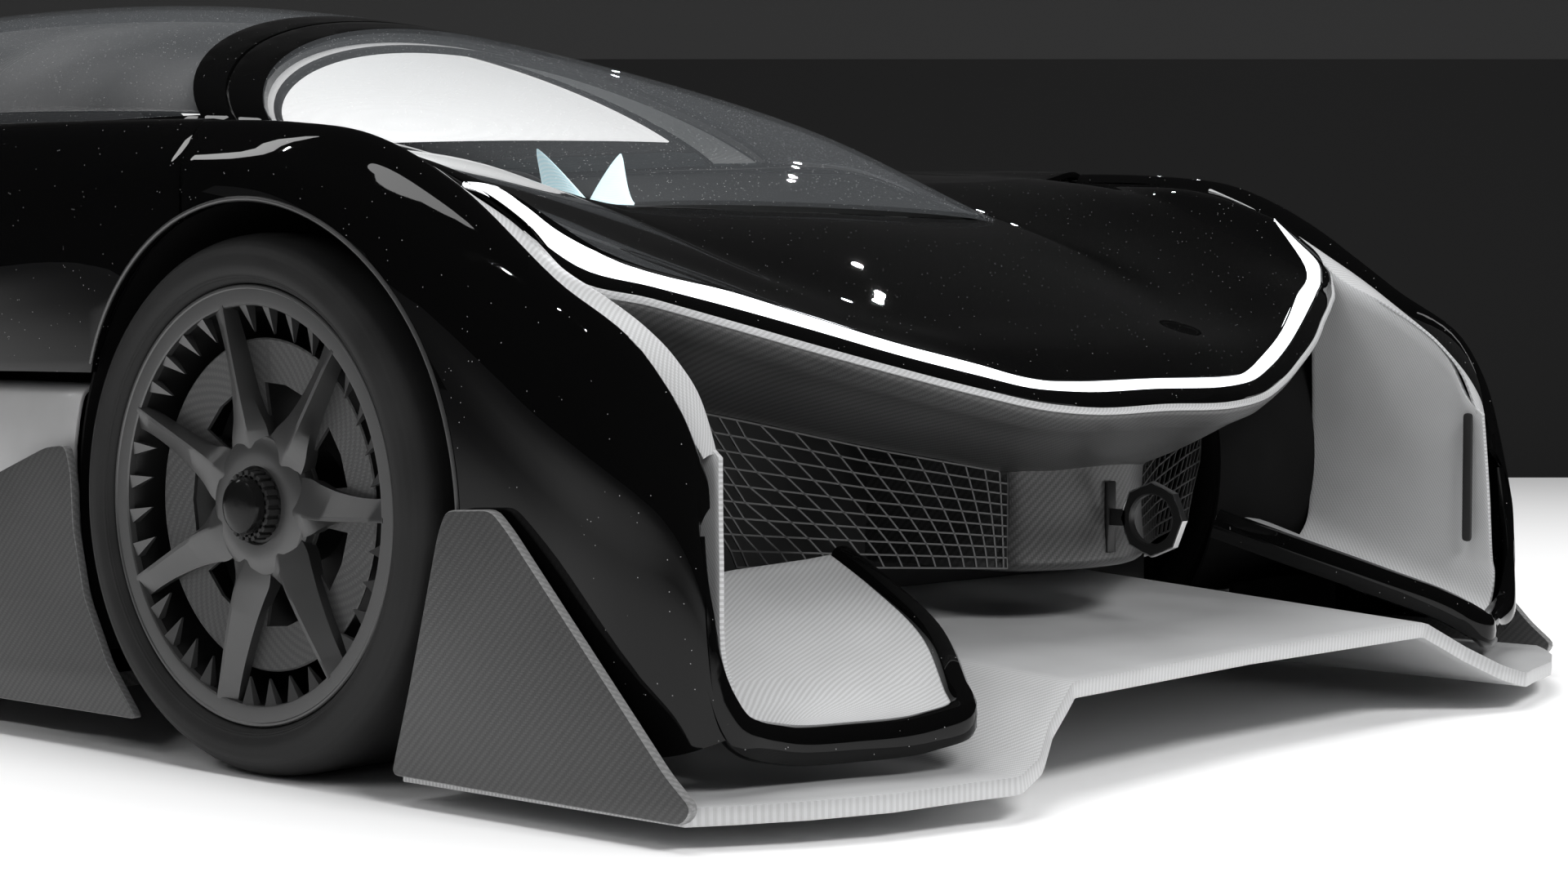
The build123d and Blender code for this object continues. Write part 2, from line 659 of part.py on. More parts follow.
SEAT_HALF = 265
SEAT_BOLSTER = 45
SEAT_SIDE = [
    (front(820), 120), (front(1560), 120), (front(1860), 860), (front(1780), 900), (front(1380), 330),
    (front(1300), 300), (front(850), 400), (front(800), 360),
]
SEAT_ROOM = [
    (front(780), 330), (front(1260), 215), (front(1400), 250), (front(1790), 870), (front(1700), 1000),
    (front(700), 1000),
]
with BuildPart() as seat:
    extrude(along(0, SEAT_SIDE), amount=SEAT_HALF, both=True)
    extrude(along(0, SEAT_ROOM), amount=SEAT_HALF - SEAT_BOLSTER, both=True, mode=Mode.SUBTRACT)
save(seat, "seat")

DASH = [
    (front(260), 620), (front(420), 600), (front(440), 660), (front(400), 720), (front(300), 740),
    (front(240), 700),
]
WHEEL_CENTRE = (0, front(640), 700)  # steering wheel
COLUMN_TILT = 20             # degrees
COLUMN_R = 22
GRIP_R = 135
GRIP_T = 28
column_axis = Vector(0, math.cos(math.radians(COLUMN_TILT)), math.sin(math.radians(COLUMN_TILT)))
with BuildPart() as dashboard:
    extrude(along(0, DASH), amount=TUB_HALF - TUB_WALL - RUN_CLEARANCE, both=True)
    start = Vector(*WHEEL_CENTRE) - column_axis * (GRIP_T / 2 + RUN_CLEARANCE)
    with BuildSketch(Plane(origin=start, x_dir=(1, 0, 0), z_dir=column_axis * -1)):
        Circle(COLUMN_R)
    extrude(amount=240)
save(dashboard, "dashboard")

with BuildPart() as steering_wheel:
    grip_plane = Plane(origin=WHEEL_CENTRE, x_dir=(1, 0, 0), z_dir=column_axis)
    with BuildSketch(grip_plane):
        RectangleRounded(2 * GRIP_R + 30, 1.6 * GRIP_R, 50)
        RectangleRounded(2 * GRIP_R - 36, 1.6 * GRIP_R - 60, 34, mode=Mode.SUBTRACT)
        Rectangle(2 * GRIP_R - 10, 34)
        Circle(38)
    extrude(amount=GRIP_T / 2, both=True)
save(steering_wheel, "steering_wheel")

# ---------------------------------------------------------------- wheel housings
with BuildPart() as wheel_housings:
    for axle_y, radius, tyre_r, inner_x in (
        (FRONT_AXLE_Y, FRONT_LINER_R, FRONT_TYRE_R, TUB_HALF),
        (REAR_AXLE_Y, REAR_LINER_R, REAR_TYRE_R, REAR_INNER),
    ):
        for name, side in SIDES:
            with BuildSketch(Plane.YZ.offset(side * inner_x)):
                with Locations((axle_y, tyre_r)):
                    Circle(radius + LINER_WALL)
                    Circle(radius, mode=Mode.SUBTRACT)
                with Locations((axle_y, 0)):
                    Rectangle(3 * radius, 2 * LINER_FOOT_Z, mode=Mode.SUBTRACT)
            extrude(amount=side * (HOUSING_X - inner_x))
save(wheel_housings, "wheel_housings")

# ---------------------------------------------------------------- rear body
def crest_at(y):
    inset, height = interpolate(QUARTER, y)[:2]
    return HALF_WIDTH - inset, height


def quarter_section(row, side):
    y, *columns = row
    crest, flank, foot = [(HALF_WIDTH - columns[i], columns[i + 1]) for i in range(0, 6, 2)]
    inner = [(foot[0] - SKIN, foot[1]), (flank[0] - SKIN, flank[1]), (crest[0], crest[1] - SKIN)]
    return across(y, [(side * x, z) for x, z in [crest, flank, foot] + inner])


for name, side in SIDES:
    with BuildPart() as rear_quarter:
        loft([quarter_section(row, side) for row in QUARTER], ruled=True)
        for axle_y, tyre_r, radius in (
            (FRONT_AXLE_Y, FRONT_TYRE_R, FRONT_ARCH_R), (REAR_AXLE_Y, REAR_TYRE_R, REAR_ARCH_R),
        ):
            with BuildSketch(Plane.YZ):
                with Locations((axle_y, tyre_r)):
                    Circle(radius)
            extrude(amount=side * HALF_WIDTH * 2, mode=Mode.SUBTRACT)
    save(rear_quarter, f"rear_quarter_{name}")

# station; height of the deck on the centre line, width and height of its inner shoulder
TAIL_DECK = [
    (rear(350), 840, 120, 837),
    (rear(650), 822, 160, 818),
    (rear(REAR_OVERHANG), 784, 200, 780),
]


with BuildPart() as rear_deck:
    stations = sorted({row[0] for row in BUBBLE + QUARTER if SHUT_LINE_Y <= row[0] < rear(350)})
    deck_rows = [deck_row(y, QUARTER) for y in stations] + [(*row, *crest_at(row[0])) for row in TAIL_DECK]
    loft([deck_section(*row) for row in deck_rows], ruled=True)
    extrude(plan(0, cabin_outline(BELT_LAP)), amount=ROOF, mode=Mode.SUBTRACT)
save(rear_deck, "rear_deck")

SILL_TOP = 470
# station; insets from HALF_WIDTH of the lower body's top, waist and foot
SILL = [
    (front(400), 50, 60, 95), (front(1200), 110, 120, 140), (front(1800), 100, 110, 130),
    (rear(-430), 45, 55, 85),
]
SKIRT = [
    (front(230), 50), (front(292), 116), (front(341), 200), (front(364), 290), (front(368), 360),
    (front(380), 398), (front(424), 394),
    (front(640), 320), (front(1150), 170), (front(1800), 130), (rear(-440), 128), (rear(-420), 50),
]
SKIRT_IN = 20                # skirt's outer face inboard of HALF_WIDTH
SKIRT_T = 12
for name, side in SIDES:
    with BuildPart() as side_sill:
        sections = []
        for y, *insets in SILL:
            top, waist, foot = [HALF_WIDTH - inset for inset in insets]
            outline = [
                (TUB_HALF, TRAY_TOP_Z), (foot, TRAY_TOP_Z), (waist, 250), (top, SILL_TOP - 40),
                (top - 12, SILL_TOP), (TUB_HALF, SILL_TOP),
            ]
            sections.append(across(y, [(side * x, z) for x, z in outline]))
        loft(sections, ruled=True)
    save(side_sill, f"side_sill_{name}")

with BuildPart() as side_skirts:
    for name, side in SIDES:
        extrude(along(side * (HALF_WIDTH - SKIRT_IN - SKIRT_T), SKIRT), amount=side * SKIRT_T)
        ledge_in, ledge_out = HALF_WIDTH - 90, HALF_WIDTH - SKIRT_IN - SKIRT_T
        ledge = [
            (ledge_in, front(470)), (ledge_out, front(470)),
            (ledge_out, rear(-470)), (ledge_in, rear(-470)),
        ]
        extrude(plan(TRAY_TOP_Z - TRAY_T, [(side * x, y) for x, y in ledge]), amount=TRAY_T)
save(side_skirts, "side_skirts")

TAIL_Y = rear(REAR_OVERHANG)
FASCIA_T = 12
LAMP_Z = 690
LAMP_H = 16
with BuildPart() as rear_fascia:
    crest_x, crest_z = crest_at(TAIL_Y)
    y, centre_z, shoulder_x, shoulder_z = TAIL_DECK[-1]
    tail = QUARTER[-1]
    drop = SKIN + RUN_CLEARANCE
    outline = mirrored([
        (HALF_WIDTH - tail[5] - drop, tail[6]), (HALF_WIDTH - tail[3] - drop, tail[4]),
        (crest_x - drop, crest_z - 1.4 * drop), (shoulder_x, shoulder_z - drop), (0, centre_z - drop),
    ])
    extrude(across(TAIL_Y - FASCIA_T, outline), amount=-FASCIA_T)
    with BuildSketch(Plane.XZ.offset(-TAIL_Y)):
        with Locations((0, LAMP_Z)):
            Rectangle(2 * (HALF_WIDTH - 170), LAMP_H)
    extrude(amount=6, mode=Mode.SUBTRACT)
save(rear_fascia, "rear_fascia")

with BuildPart() as tail_lamp:
    with BuildSketch(Plane.XZ.offset(-TAIL_Y)):
        with Locations((0, LAMP_Z)):
            Rectangle(2 * (HALF_WIDTH - 170) - 1, LAMP_H - 1)
    extrude(amount=6)
save(tail_lamp, "tail_lamp")

DIFFUSER_HALF = REAR_INNER   # flush with the rear housings' inner walls
DIFFUSER_FINS = 6
with BuildPart() as diffuser:
    lip_z = QUARTER[-1][6] - RUN_CLEARANCE
    ramp = [
        (TRAY_END_Y, TRAY_TOP_Z - TRAY_T), (TRAY_END_Y, TRAY_TOP_Z), (TAIL_Y - 60, lip_z), (TAIL_Y, lip_z),
        (TAIL_Y, lip_z - 12), (TAIL_Y - 55, lip_z - 16),
    ]
    extrude(along(0, ramp), amount=DIFFUSER_HALF, both=True)
    fin = [(TRAY_END_Y + 60, 75), (TAIL_Y - 58, lip_z - 10), (TAIL_Y - 40, 110), (TRAY_END_Y + 160, 60)]
    for index in range(DIFFUSER_FINS):
        x = -DIFFUSER_HALF + 8 + index * (2 * DIFFUSER_HALF - 16) / (DIFFUSER_FINS - 1)
        extrude(along(x, fin), amount=4, both=True)
save(diffuser, "diffuser")

FIN_T = 12
with BuildPart() as dorsal_fin:
    fin = [
        (REAR_GLASS_Y + REAR_BAND + 10, 1070), (REAR_GLASS_Y + REAR_BAND + 30, 1112), (rear(-300), 1128),
        (rear(300), 1120),
        (TAIL_Y - 120, 1040), (TAIL_Y - 60, 1000), (TAIL_Y - 40, 792), (rear(650), 822), (rear(350), 840),
    ]
    extrude(along(0, fin), amount=FIN_T / 2, both=True)
    loft(bubble(0), ruled=True, mode=Mode.SUBTRACT)
    loft([deck_section(*row) for row in deck_rows[-4:]], ruled=True, mode=Mode.SUBTRACT)
save(dorsal_fin, "dorsal_fin")

# ---------------------------------------------------------------- wheels
SPOKES = 7
TEETH = 35
BEAD_R = 250
TYRE_WALL = 12
RIM_FACE = 13                # rim's outer face inboard of the tyre wall
HUB_R = 62
DISC_R = 190
DISC_T = 28
COVER_R = 206
HUB_DEPTH = 150              # tyre wall to the hub's inner face
DISC_SETBACK = 12            # hub's inner face to the disc
STUB_END = 40                # end of the stub axle inboard of HALF_WIDTH

wheels = []
for end, axle_y, tyre_r, width in (
    ("front", FRONT_AXLE_Y, FRONT_TYRE_R, FRONT_TYRE_W), ("rear", REAR_AXLE_Y, REAR_TYRE_R, REAR_TYRE_W),
):
    for name, side in SIDES:
        wheels.append((f"{end}_{name}", side, axle_y, tyre_r, width))

for tag, side, axle_y, tyre_r, width in wheels:
    hub_plane = Plane(origin=(0, axle_y, tyre_r), x_dir=(1, 0, 0), z_dir=(0, -1, 0))
    spin = Axis((0, axle_y, tyre_r), (1, 0, 0))
    outer = HALF_WIDTH - TYRE_INSET
    inner = outer - width
    lip_out = outer - RIM_FACE
    lip_in = inner + RIM_FACE
    bead_out = lip_out - 7
    bead_in = lip_in + 7
    with BuildPart() as tyre:
        with BuildSketch(hub_plane):
            with BuildLine():
                Line((side * bead_out, BEAD_R), (side * bead_out, RIM_FLANGE_R))
                wall_out = ThreePointArc(
                    (side * bead_out, RIM_FLANGE_R), (side * outer, tyre_r - 38),
                    (side * (outer - 14), tyre_r - 13),
                )
                shoulder_out = ThreePointArc(
                    wall_out @ 1, (side * (outer - 25), tyre_r - 4), (side * (outer - 45), tyre_r),
                )
                tread = Line(shoulder_out @ 1, (side * (inner + 45), tyre_r))
                shoulder_in = ThreePointArc(
                    tread @ 1, (side * (inner + 25), tyre_r - 4), (side * (inner + 14), tyre_r - 13),
                )
                ThreePointArc(shoulder_in @ 1, (side * inner, tyre_r - 38), (side * bead_in, RIM_FLANGE_R))
                Line((side * bead_in, RIM_FLANGE_R), (side * bead_in, BEAD_R))
                Polyline(
                    (side * bead_in, BEAD_R), (side * (bead_in + 14), BEAD_R),
                    (side * (bead_in + 6), tyre_r - 40), (side * (inner + 50), tyre_r - TYRE_WALL),
                    (side * (outer - 50), tyre_r - TYRE_WALL), (side * (bead_out - 6), tyre_r - 40),
                    (side * (bead_out - 14), BEAD_R), (side * bead_out, BEAD_R),
                )
            make_face()
        revolve(axis=spin)
    save(tyre, f"tyre_{tag}")

    with BuildPart() as rim:
        with BuildSketch(hub_plane):
            with BuildLine():
                barrel_r = BEAD_R - RIM_BARREL
                profile = [
                    (lip_in, RIM_FLANGE_R), (lip_in, barrel_r), (lip_out, barrel_r), (lip_out, RIM_FLANGE_R),
                    (bead_out, RIM_FLANGE_R), (bead_out, BEAD_R), (bead_in, BEAD_R), (bead_in, RIM_FLANGE_R),
                ]
                Polyline(*[(side * x, r) for x, r in profile], close=True)
            make_face()
            bore = STUB_R + RUN_CLEARANCE
            hub_in = outer - HUB_DEPTH
            with BuildLine():
                disc_in = hub_in + DISC_SETBACK
                profile = [
                    (hub_in, bore), (hub_in, 75), (disc_in, 75), (disc_in, DISC_R),
                    (disc_in + DISC_T, DISC_R),
                    (disc_in + DISC_T, 75), (outer - 70, HUB_R), (outer - 34, HUB_R), (outer - 34, 44),
                    (outer - 10, 44), (outer - 10, 33), (outer + 5, 30), (outer + 5, 0), (outer - 30, 0),
                    (outer - 30, bore),
                ]
                Polyline(*[(side * x, r) for x, r in profile], close=True)
            make_face()
        revolve(axis=spin)
        # spokes
        face_x = side * (lip_out - 4)
        spoke_plane = Plane(origin=(face_x, axle_y, tyre_r), x_dir=(0, -1, 0), z_dir=(side, 0, 0))
        with BuildSketch(spoke_plane):
            with PolarLocations(0, SPOKES):
                Polygon(
                    (40, -34), (110, -20), (BEAD_R - 4, -9), (BEAD_R - 4, 13), (110, 22), (40, 34),
                    align=None,
                )
        extrude(amount=-30)
        # shark-fin teeth round the rim
        with BuildSketch(spoke_plane.offset(-6)):
            with PolarLocations(0, TEETH):
                Polygon((BEAD_R - 4, -11), (BEAD_R - 4, 8), (COVER_R + 8, -11), align=None)
        extrude(amount=-8)
        # carbon cover behind the spokes, with a window between each pair
        with BuildSketch(spoke_plane.offset(-30)):
            Circle(COVER_R)
            with PolarLocations(0, SPOKES, start_angle=180 / SPOKES):
                Polygon((92, -22), (150, -42), (150, 42), (92, 22), align=None, mode=Mode.SUBTRACT)
            Circle(HUB_R - 4, mode=Mode.SUBTRACT)
        extrude(amount=-5)
    save(rim, f"rim_{tag}")

# ---------------------------------------------------------------- uprights, knuckles and arms
LUG_Z = 112                  # kingpin lugs above and below the wheel centre
LUG_R = 24
LUG_T = 34
PIN_R = 11
ARM_T = 18
ARM_SPREAD = 150
BEARING_R = 58
CALIPER_H = 150
JAW_T = 15
BRACKET_T = 14
HUB_GAP = 7                  # bearing housing to the turning hub
JAW_GAP = 6                  # caliper jaw to disc


def upright(side, axle_y, wheel_z, steers):
    """Column between two lugs, with its stub axle and a caliper astride the disc behind the axle."""
    disc_x = HALF_WIDTH - TYRE_INSET - HUB_DEPTH + DISC_SETBACK
    jaw_x = disc_x - JAW_GAP - JAW_T
    bearing_x = disc_x - DISC_SETBACK - HUB_GAP
    wheel_plane = Plane(origin=(0, axle_y, wheel_z), x_dir=(0, 1, 0), z_dir=(side, 0, 0))
    with BuildPart() as piece:
        with BuildSketch(Plane(origin=(side * KINGPIN_X, axle_y, wheel_z - LUG_Z - LUG_T / 2))):
            Circle(LUG_R)
        extrude(amount=2 * LUG_Z + LUG_T)
        with BuildSketch(wheel_plane.offset(KINGPIN_X - LUG_R)):
            Circle(BEARING_R)
        extrude(amount=bearing_x - KINGPIN_X + LUG_R)
        with BuildSketch(wheel_plane.offset(bearing_x - BRACKET_T)):
            with Locations((DISC_R / 2, 0)):
                Rectangle(DISC_R - 20, 60)
        extrude(amount=BRACKET_T)
        with BuildSketch(wheel_plane.offset(KINGPIN_X)):
            Circle(STUB_R)
        extrude(amount=KINGPIN_INSET - STUB_END)
        # caliper: inner jaw, bridge over the disc's edge, outer jaw
        with BuildSketch(wheel_plane.offset(jaw_x)):
            with Locations((DISC_R - 25, 0)):
                Rectangle(80, CALIPER_H)
        extrude(amount=JAW_T)
        with BuildSketch(wheel_plane.offset(jaw_x)):
            with Locations((DISC_R + 12, 0)):
                Rectangle(12, CALIPER_H)
        extrude(amount=DISC_T + 2 * (JAW_GAP + JAW_T))
        with BuildSketch(wheel_plane.offset(disc_x + DISC_T + JAW_GAP)):
            with Locations((DISC_R - 14, 0)):
                Rectangle(60, CALIPER_H)
        extrude(amount=JAW_T)
        if steers:
            for low in (wheel_z - LUG_Z - LUG_T, wheel_z + LUG_Z - LUG_T / 2):
                with BuildSketch(Plane(origin=(side * KINGPIN_X, axle_y, low))):
                    Circle(PIN_R + RUN_CLEARANCE)
                extrude(amount=1.5 * LUG_T, mode=Mode.SUBTRACT)
    return piece


for name, side in SIDES:
    save(upright(side, FRONT_AXLE_Y, FRONT_TYRE_R, True), f"knuckle_{name}")

rear_pair = [upright(side, REAR_AXLE_Y, REAR_TYRE_R, False) for name, side in SIDES]
with BuildPart() as rear_uprights:
    for piece in rear_pair:
        add(piece.part)
save(rear_uprights, "rear_uprights")

with BuildPart() as suspension_arms:
    for axle_y, wheel_z, root_x, steers in (
        (FRONT_AXLE_Y, FRONT_TYRE_R, TUB_HALF, True), (REAR_AXLE_Y, REAR_TYRE_R, REAR_INNER, False),
    ):
        for side, up in ((1, 1), (1, -1), (-1, 1), (-1, -1)):
            face_z = wheel_z + up * (LUG_Z + LUG_T / 2 + RUN_CLEARANCE)
            arm_plane = Plane(origin=(0, axle_y, face_z), x_dir=(1, 0, 0), z_dir=(0, 0, up))
            with BuildSketch(arm_plane):
                with BuildLine():
                    Polyline(
                        (side * root_x, -ARM_SPREAD), (side * root_x, ARM_SPREAD),
                        (side * KINGPIN_X, LUG_R), (side * KINGPIN_X, -LUG_R), close=True,
                    )
                make_face()
                with Locations((side * KINGPIN_X, 0)):
                    Circle(LUG_R)
                with BuildLine():
                    Polyline(
                        (side * (root_x - 1), 30 - ARM_SPREAD), (side * (root_x - 1), ARM_SPREAD - 30),
                        (side * (KINGPIN_X - 70), 16), (side * (KINGPIN_X - 70), -16), close=True,
                    )
                make_face(mode=Mode.SUBTRACT)
            extrude(amount=ARM_T)
            if steers:
                with BuildSketch(Plane(origin=(side * KINGPIN_X, axle_y, face_z), z_dir=(0, 0, -up))):
                    Circle(PIN_R)
                extrude(amount=LUG_T)
save(suspension_arms, "suspension_arms")
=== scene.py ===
# %% [markdown]
# # A low electric hypercar
# The car is a black upper body over pale carbon parts: a splitter, two open loops at the nose, a bubble of
# glass and four tall wheels. Its solids come from CAD, at their real size, and this notebook gives them their
# looks. Everything is in metres, with the ground at z = 0 and the nose pointing along -Y.

# %% Load the frame
import math
from contextlib import contextmanager

import bmesh
import bpy
import numpy as np
from mathutils import Matrix, Vector
from mathutils.bvhtree import BVHTree


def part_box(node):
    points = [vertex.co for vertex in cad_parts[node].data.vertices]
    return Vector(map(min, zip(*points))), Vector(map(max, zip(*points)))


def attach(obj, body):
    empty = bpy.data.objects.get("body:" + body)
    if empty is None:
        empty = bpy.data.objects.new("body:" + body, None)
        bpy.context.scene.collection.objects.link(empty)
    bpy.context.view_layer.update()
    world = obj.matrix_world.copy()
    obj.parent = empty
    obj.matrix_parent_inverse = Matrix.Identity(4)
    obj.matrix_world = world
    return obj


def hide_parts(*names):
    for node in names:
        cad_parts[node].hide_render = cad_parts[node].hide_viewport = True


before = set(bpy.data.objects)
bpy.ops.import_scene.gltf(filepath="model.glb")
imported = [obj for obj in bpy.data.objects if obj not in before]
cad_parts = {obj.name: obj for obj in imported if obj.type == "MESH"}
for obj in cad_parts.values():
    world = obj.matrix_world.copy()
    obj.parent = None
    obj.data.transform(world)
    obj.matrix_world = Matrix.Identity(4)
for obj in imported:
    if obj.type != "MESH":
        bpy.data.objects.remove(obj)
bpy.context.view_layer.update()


# %% [markdown]
# Nearly every place on a car is known by its distance behind an axle. The two axle lines come from the CAD
# tyres, and a small function turns "this far behind the front axle" into a Y coordinate.

# %% Stations along the car
def middle(node):
    low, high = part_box(node)
    return (low + high) / 2


front_hub = middle("tyre_front_left")
rear_hub = middle("tyre_rear_left")
FRONT_Y, FRONT_R = front_hub.y, front_hub.z
REAR_Y, REAR_R = rear_hub.y, rear_hub.z
SIDES = (("left", 1), ("right", -1))


def behind(rows):
    """Points given as (x, distance behind the front axle, z), moved into the frame."""
    return np.asarray(rows, float) + (0, FRONT_Y, 0)


def rib(distance, *corners):
    """Points (x, z) of a rib that stands at one distance behind the front axle."""
    return behind([(x, distance, z) for x, z in corners])


print("front axle", round(FRONT_Y, 3), "rear axle", round(REAR_Y, 3))


# %% [markdown]
# Body panels are drawn the way a clay modeller does it: a few ribs across the form, and a skin pulled
# smoothly over them. Splines through a handful of ribs keep reflections fair, which flat facets can't do.

# %% Smooth curves and skins
def through(points, steps):
    """Smooth curve through rows of points, along the first axis of the array."""
    points = np.asarray(points, float)
    gaps = np.linalg.norm(np.diff(points, axis=0), axis=-1)
    while gaps.ndim > 1:
        gaps = gaps.mean(axis=-1)
    gaps = np.maximum(gaps, 1e-6).reshape(-1, *[1] * (points.ndim - 1))
    slopes = np.diff(points, axis=0) / gaps
    tangents = np.empty_like(points)
    tangents[1:-1] = (slopes[:-1] * gaps[1:] + slopes[1:] * gaps[:-1]) / (gaps[1:] + gaps[:-1])
    tangents[0] = 1.5 * slopes[0] - 0.5 * tangents[1]
    tangents[-1] = 1.5 * slopes[-1] - 0.5 * tangents[-2]
    out = []
    for i, gap in enumerate(gaps):
        for t in np.arange(steps) / steps:
            s = 1 - t
            out.append(
                points[i] * (1 + 2 * t) * s * s
                + points[i + 1] * t * t * (3 - 2 * t)
                + (tangents[i] * t * s * s - tangents[i + 1] * t * t * s) * gap
            )
    out.append(points[-1])
    return np.array(out)


def columns_through(grid, steps):
    """Smooth curves through a grid's columns, where through takes its rows."""
    return through(np.swapaxes(grid, 0, 1), steps).swapaxes(0, 1)


def skin(rows, along, across):
    """Grid of points over ribs: rows[rib][point]."""
    return columns_through(through(rows, along), across)


def mesh_from_grid(name, grid, closed=False):
    """Quad mesh over a grid, with a UV map in metres along both of its directions."""
    rows, columns = grid.shape[:2]
    mesh = bpy.data.meshes.new(name)
    faces = []
    for i in range(rows - 1):
        for j in range(columns - 1 + closed):
            k = (j + 1) % columns
            faces.append((i * columns + j, i * columns + k, (i + 1) * columns + k, (i + 1) * columns + j))
    mesh.from_pydata(grid.reshape(-1, 3).tolist(), [], faces)
    u = np.cumsum(np.r_[0, np.linalg.norm(np.diff(grid, axis=0), axis=-1).mean(axis=1)])
    v = np.cumsum(np.r_[0, np.linalg.norm(np.diff(grid, axis=1), axis=-1).mean(axis=0)])
    layer = mesh.uv_layers.new(name="weave")
    for loop in mesh.loops:
        i, j = divmod(loop.vertex_index, columns)
        layer.data[loop.index].uv = (u[i], v[j])
    return mesh


def mirrored(grid):
    return grid * (-1, 1, 1)


def circle(count):
    """Angles of count points round a circle."""
    return np.linspace(0, 2 * math.pi, count, endpoint=False)


def unit(rows):
    return rows / np.linalg.norm(rows, axis=-1, keepdims=True)


print("a straight line stays straight:", through([[0, 0, 0], [1, 0, 0], [2, 0, 0]], 2)[:, 0])


# %% [markdown]
# A panel has thickness and a small radius on every edge, and that radius is what catches the light. Modifiers
# add both. They are then made real, because the finished pieces are plain meshes at the origin.

# %% Objects, modifiers and riding on the frame
def add_object(name, mesh):
    obj = bpy.data.objects.new(name, mesh)
    bpy.context.collection.objects.link(obj)
    return obj


def modify(obj, kind, **settings):
    modifier = obj.modifiers.new(kind.lower(), kind)
    for key, value in settings.items():
        setattr(modifier, key, value)


def bake(obj):
    """Make the modifiers' result the object's own mesh."""
    evaluated = obj.evaluated_get(bpy.context.evaluated_depsgraph_get())
    mesh = bpy.data.meshes.new_from_object(evaluated)
    obj.modifiers.clear()
    obj.data = mesh
    return obj


def soften(obj, radius, segments=2, angle=50):
    """Round every edge that turns by more than an angle in degrees."""
    modify(obj, "BEVEL", width=radius, segments=segments, limit_method="ANGLE",
           angle_limit=math.radians(angle))
    return bake(obj)


def thicken(obj, wall, radius):
    """Give a skin its wall, inwards, and round the edges unless the radius is 0."""
    modify(obj, "SOLIDIFY", thickness=wall, offset=-1, use_even_offset=True)
    return soften(obj, radius) if radius else bake(obj)


def settle(obj, material, body="chassis", slot="", nodes=(), crease=32):
    """Finish a piece: smooth shading with creases, its material, its body and the nodes it stands for."""
    mesh = obj.data
    mesh.polygons.foreach_set("use_smooth", [True] * len(mesh.polygons))
    mesh.set_sharp_from_angle(angle=math.radians(crease))
    mesh.materials.clear()
    mesh.materials.append(material)
    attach(obj, body)
    if nodes:
        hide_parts(*nodes)
    return obj


def join(name, meshes):
    """One object from several meshes."""
    bm = bmesh.new()
    for mesh in meshes:
        bm.from_mesh(mesh)
    out = bpy.data.meshes.new(name)
    bm.to_mesh(out)
    bm.free()
    return add_object(name, out)


print("helpers ready")


# %% [markdown]
# Some shapes are edited corner by corner. A mesh is opened for that, and written back when the block ends, so
# no step can forget to close it.

# %% Editing meshes
@contextmanager
def editing(mesh):
    """A mesh opened for editing, and written back at the end."""
    bm = bmesh.new()
    bm.from_mesh(mesh)
    yield bm
    bm.to_mesh(mesh)
    bm.free()


def weld(mesh):
    """Merge the corners that touch and turn the faces outwards."""
    with editing(mesh) as bm:
        bmesh.ops.remove_doubles(bm, verts=bm.verts, dist=1e-6)
        bmesh.ops.recalc_face_normals(bm, faces=bm.faces)
    return mesh


def face_towards(mesh, direction):
    """Turn a skin over if it faces away from a direction."""
    total = sum((face.normal * face.area for face in mesh.polygons), Vector())
    if total.dot(Vector(direction)) < 0:
        mesh.flip_normals()
    return mesh


def subtract(obj, cutter):
    """Take the cutter away from an object, and remove the cutter."""
    modify(obj, "BOOLEAN", operation="DIFFERENCE", object=cutter, solver="EXACT")
    bake(obj)
    bpy.data.objects.remove(cutter)


def cut(obj, centre, radius, depth):
    """Cut a round hole along X through an object, such as a wheel arch."""
    mesh = bpy.data.meshes.new("cutter")
    with editing(mesh) as bm:
        bmesh.ops.create_cone(bm, cap_ends=True, segments=160, radius1=radius, radius2=radius, depth=depth)
        bm.transform(Matrix.Translation(centre) @ Matrix.Rotation(math.radians(90), 4, "Y"))
    subtract(obj, add_object("cutter", mesh))


print("editing tools ready")


# %% [markdown]
# Materials are sums on sockets. A small class lets those sums be written as plain Python, so `1 - mask` adds
# its own Math node, and one method makes any other node from its type, its settings and its inputs.

# %% Shader sums as Python
class Value:
    """A node socket that can be added, multiplied and compared."""

    def __init__(self, recipe, socket):
        self.recipe, self.socket = recipe, socket

    def maths(self, operation, *others):
        return self.recipe.node("ShaderNodeMath", {"operation": operation}, self, *others)

    def __rsub__(self, other):
        return self.recipe.node("ShaderNodeMath", {"operation": "SUBTRACT"}, other, self)


def operator(name):
    return lambda value, other: value.maths(name, other)


for method, name in (("add", "ADD"), ("radd", "ADD"), ("mul", "MULTIPLY"), ("rmul", "MULTIPLY"),
                     ("sub", "SUBTRACT"), ("truediv", "DIVIDE"), ("mod", "FLOORED_MODULO"),
                     ("gt", "GREATER_THAN"), ("lt", "LESS_THAN")):
    setattr(Value, f"__{method}__", operator(name))


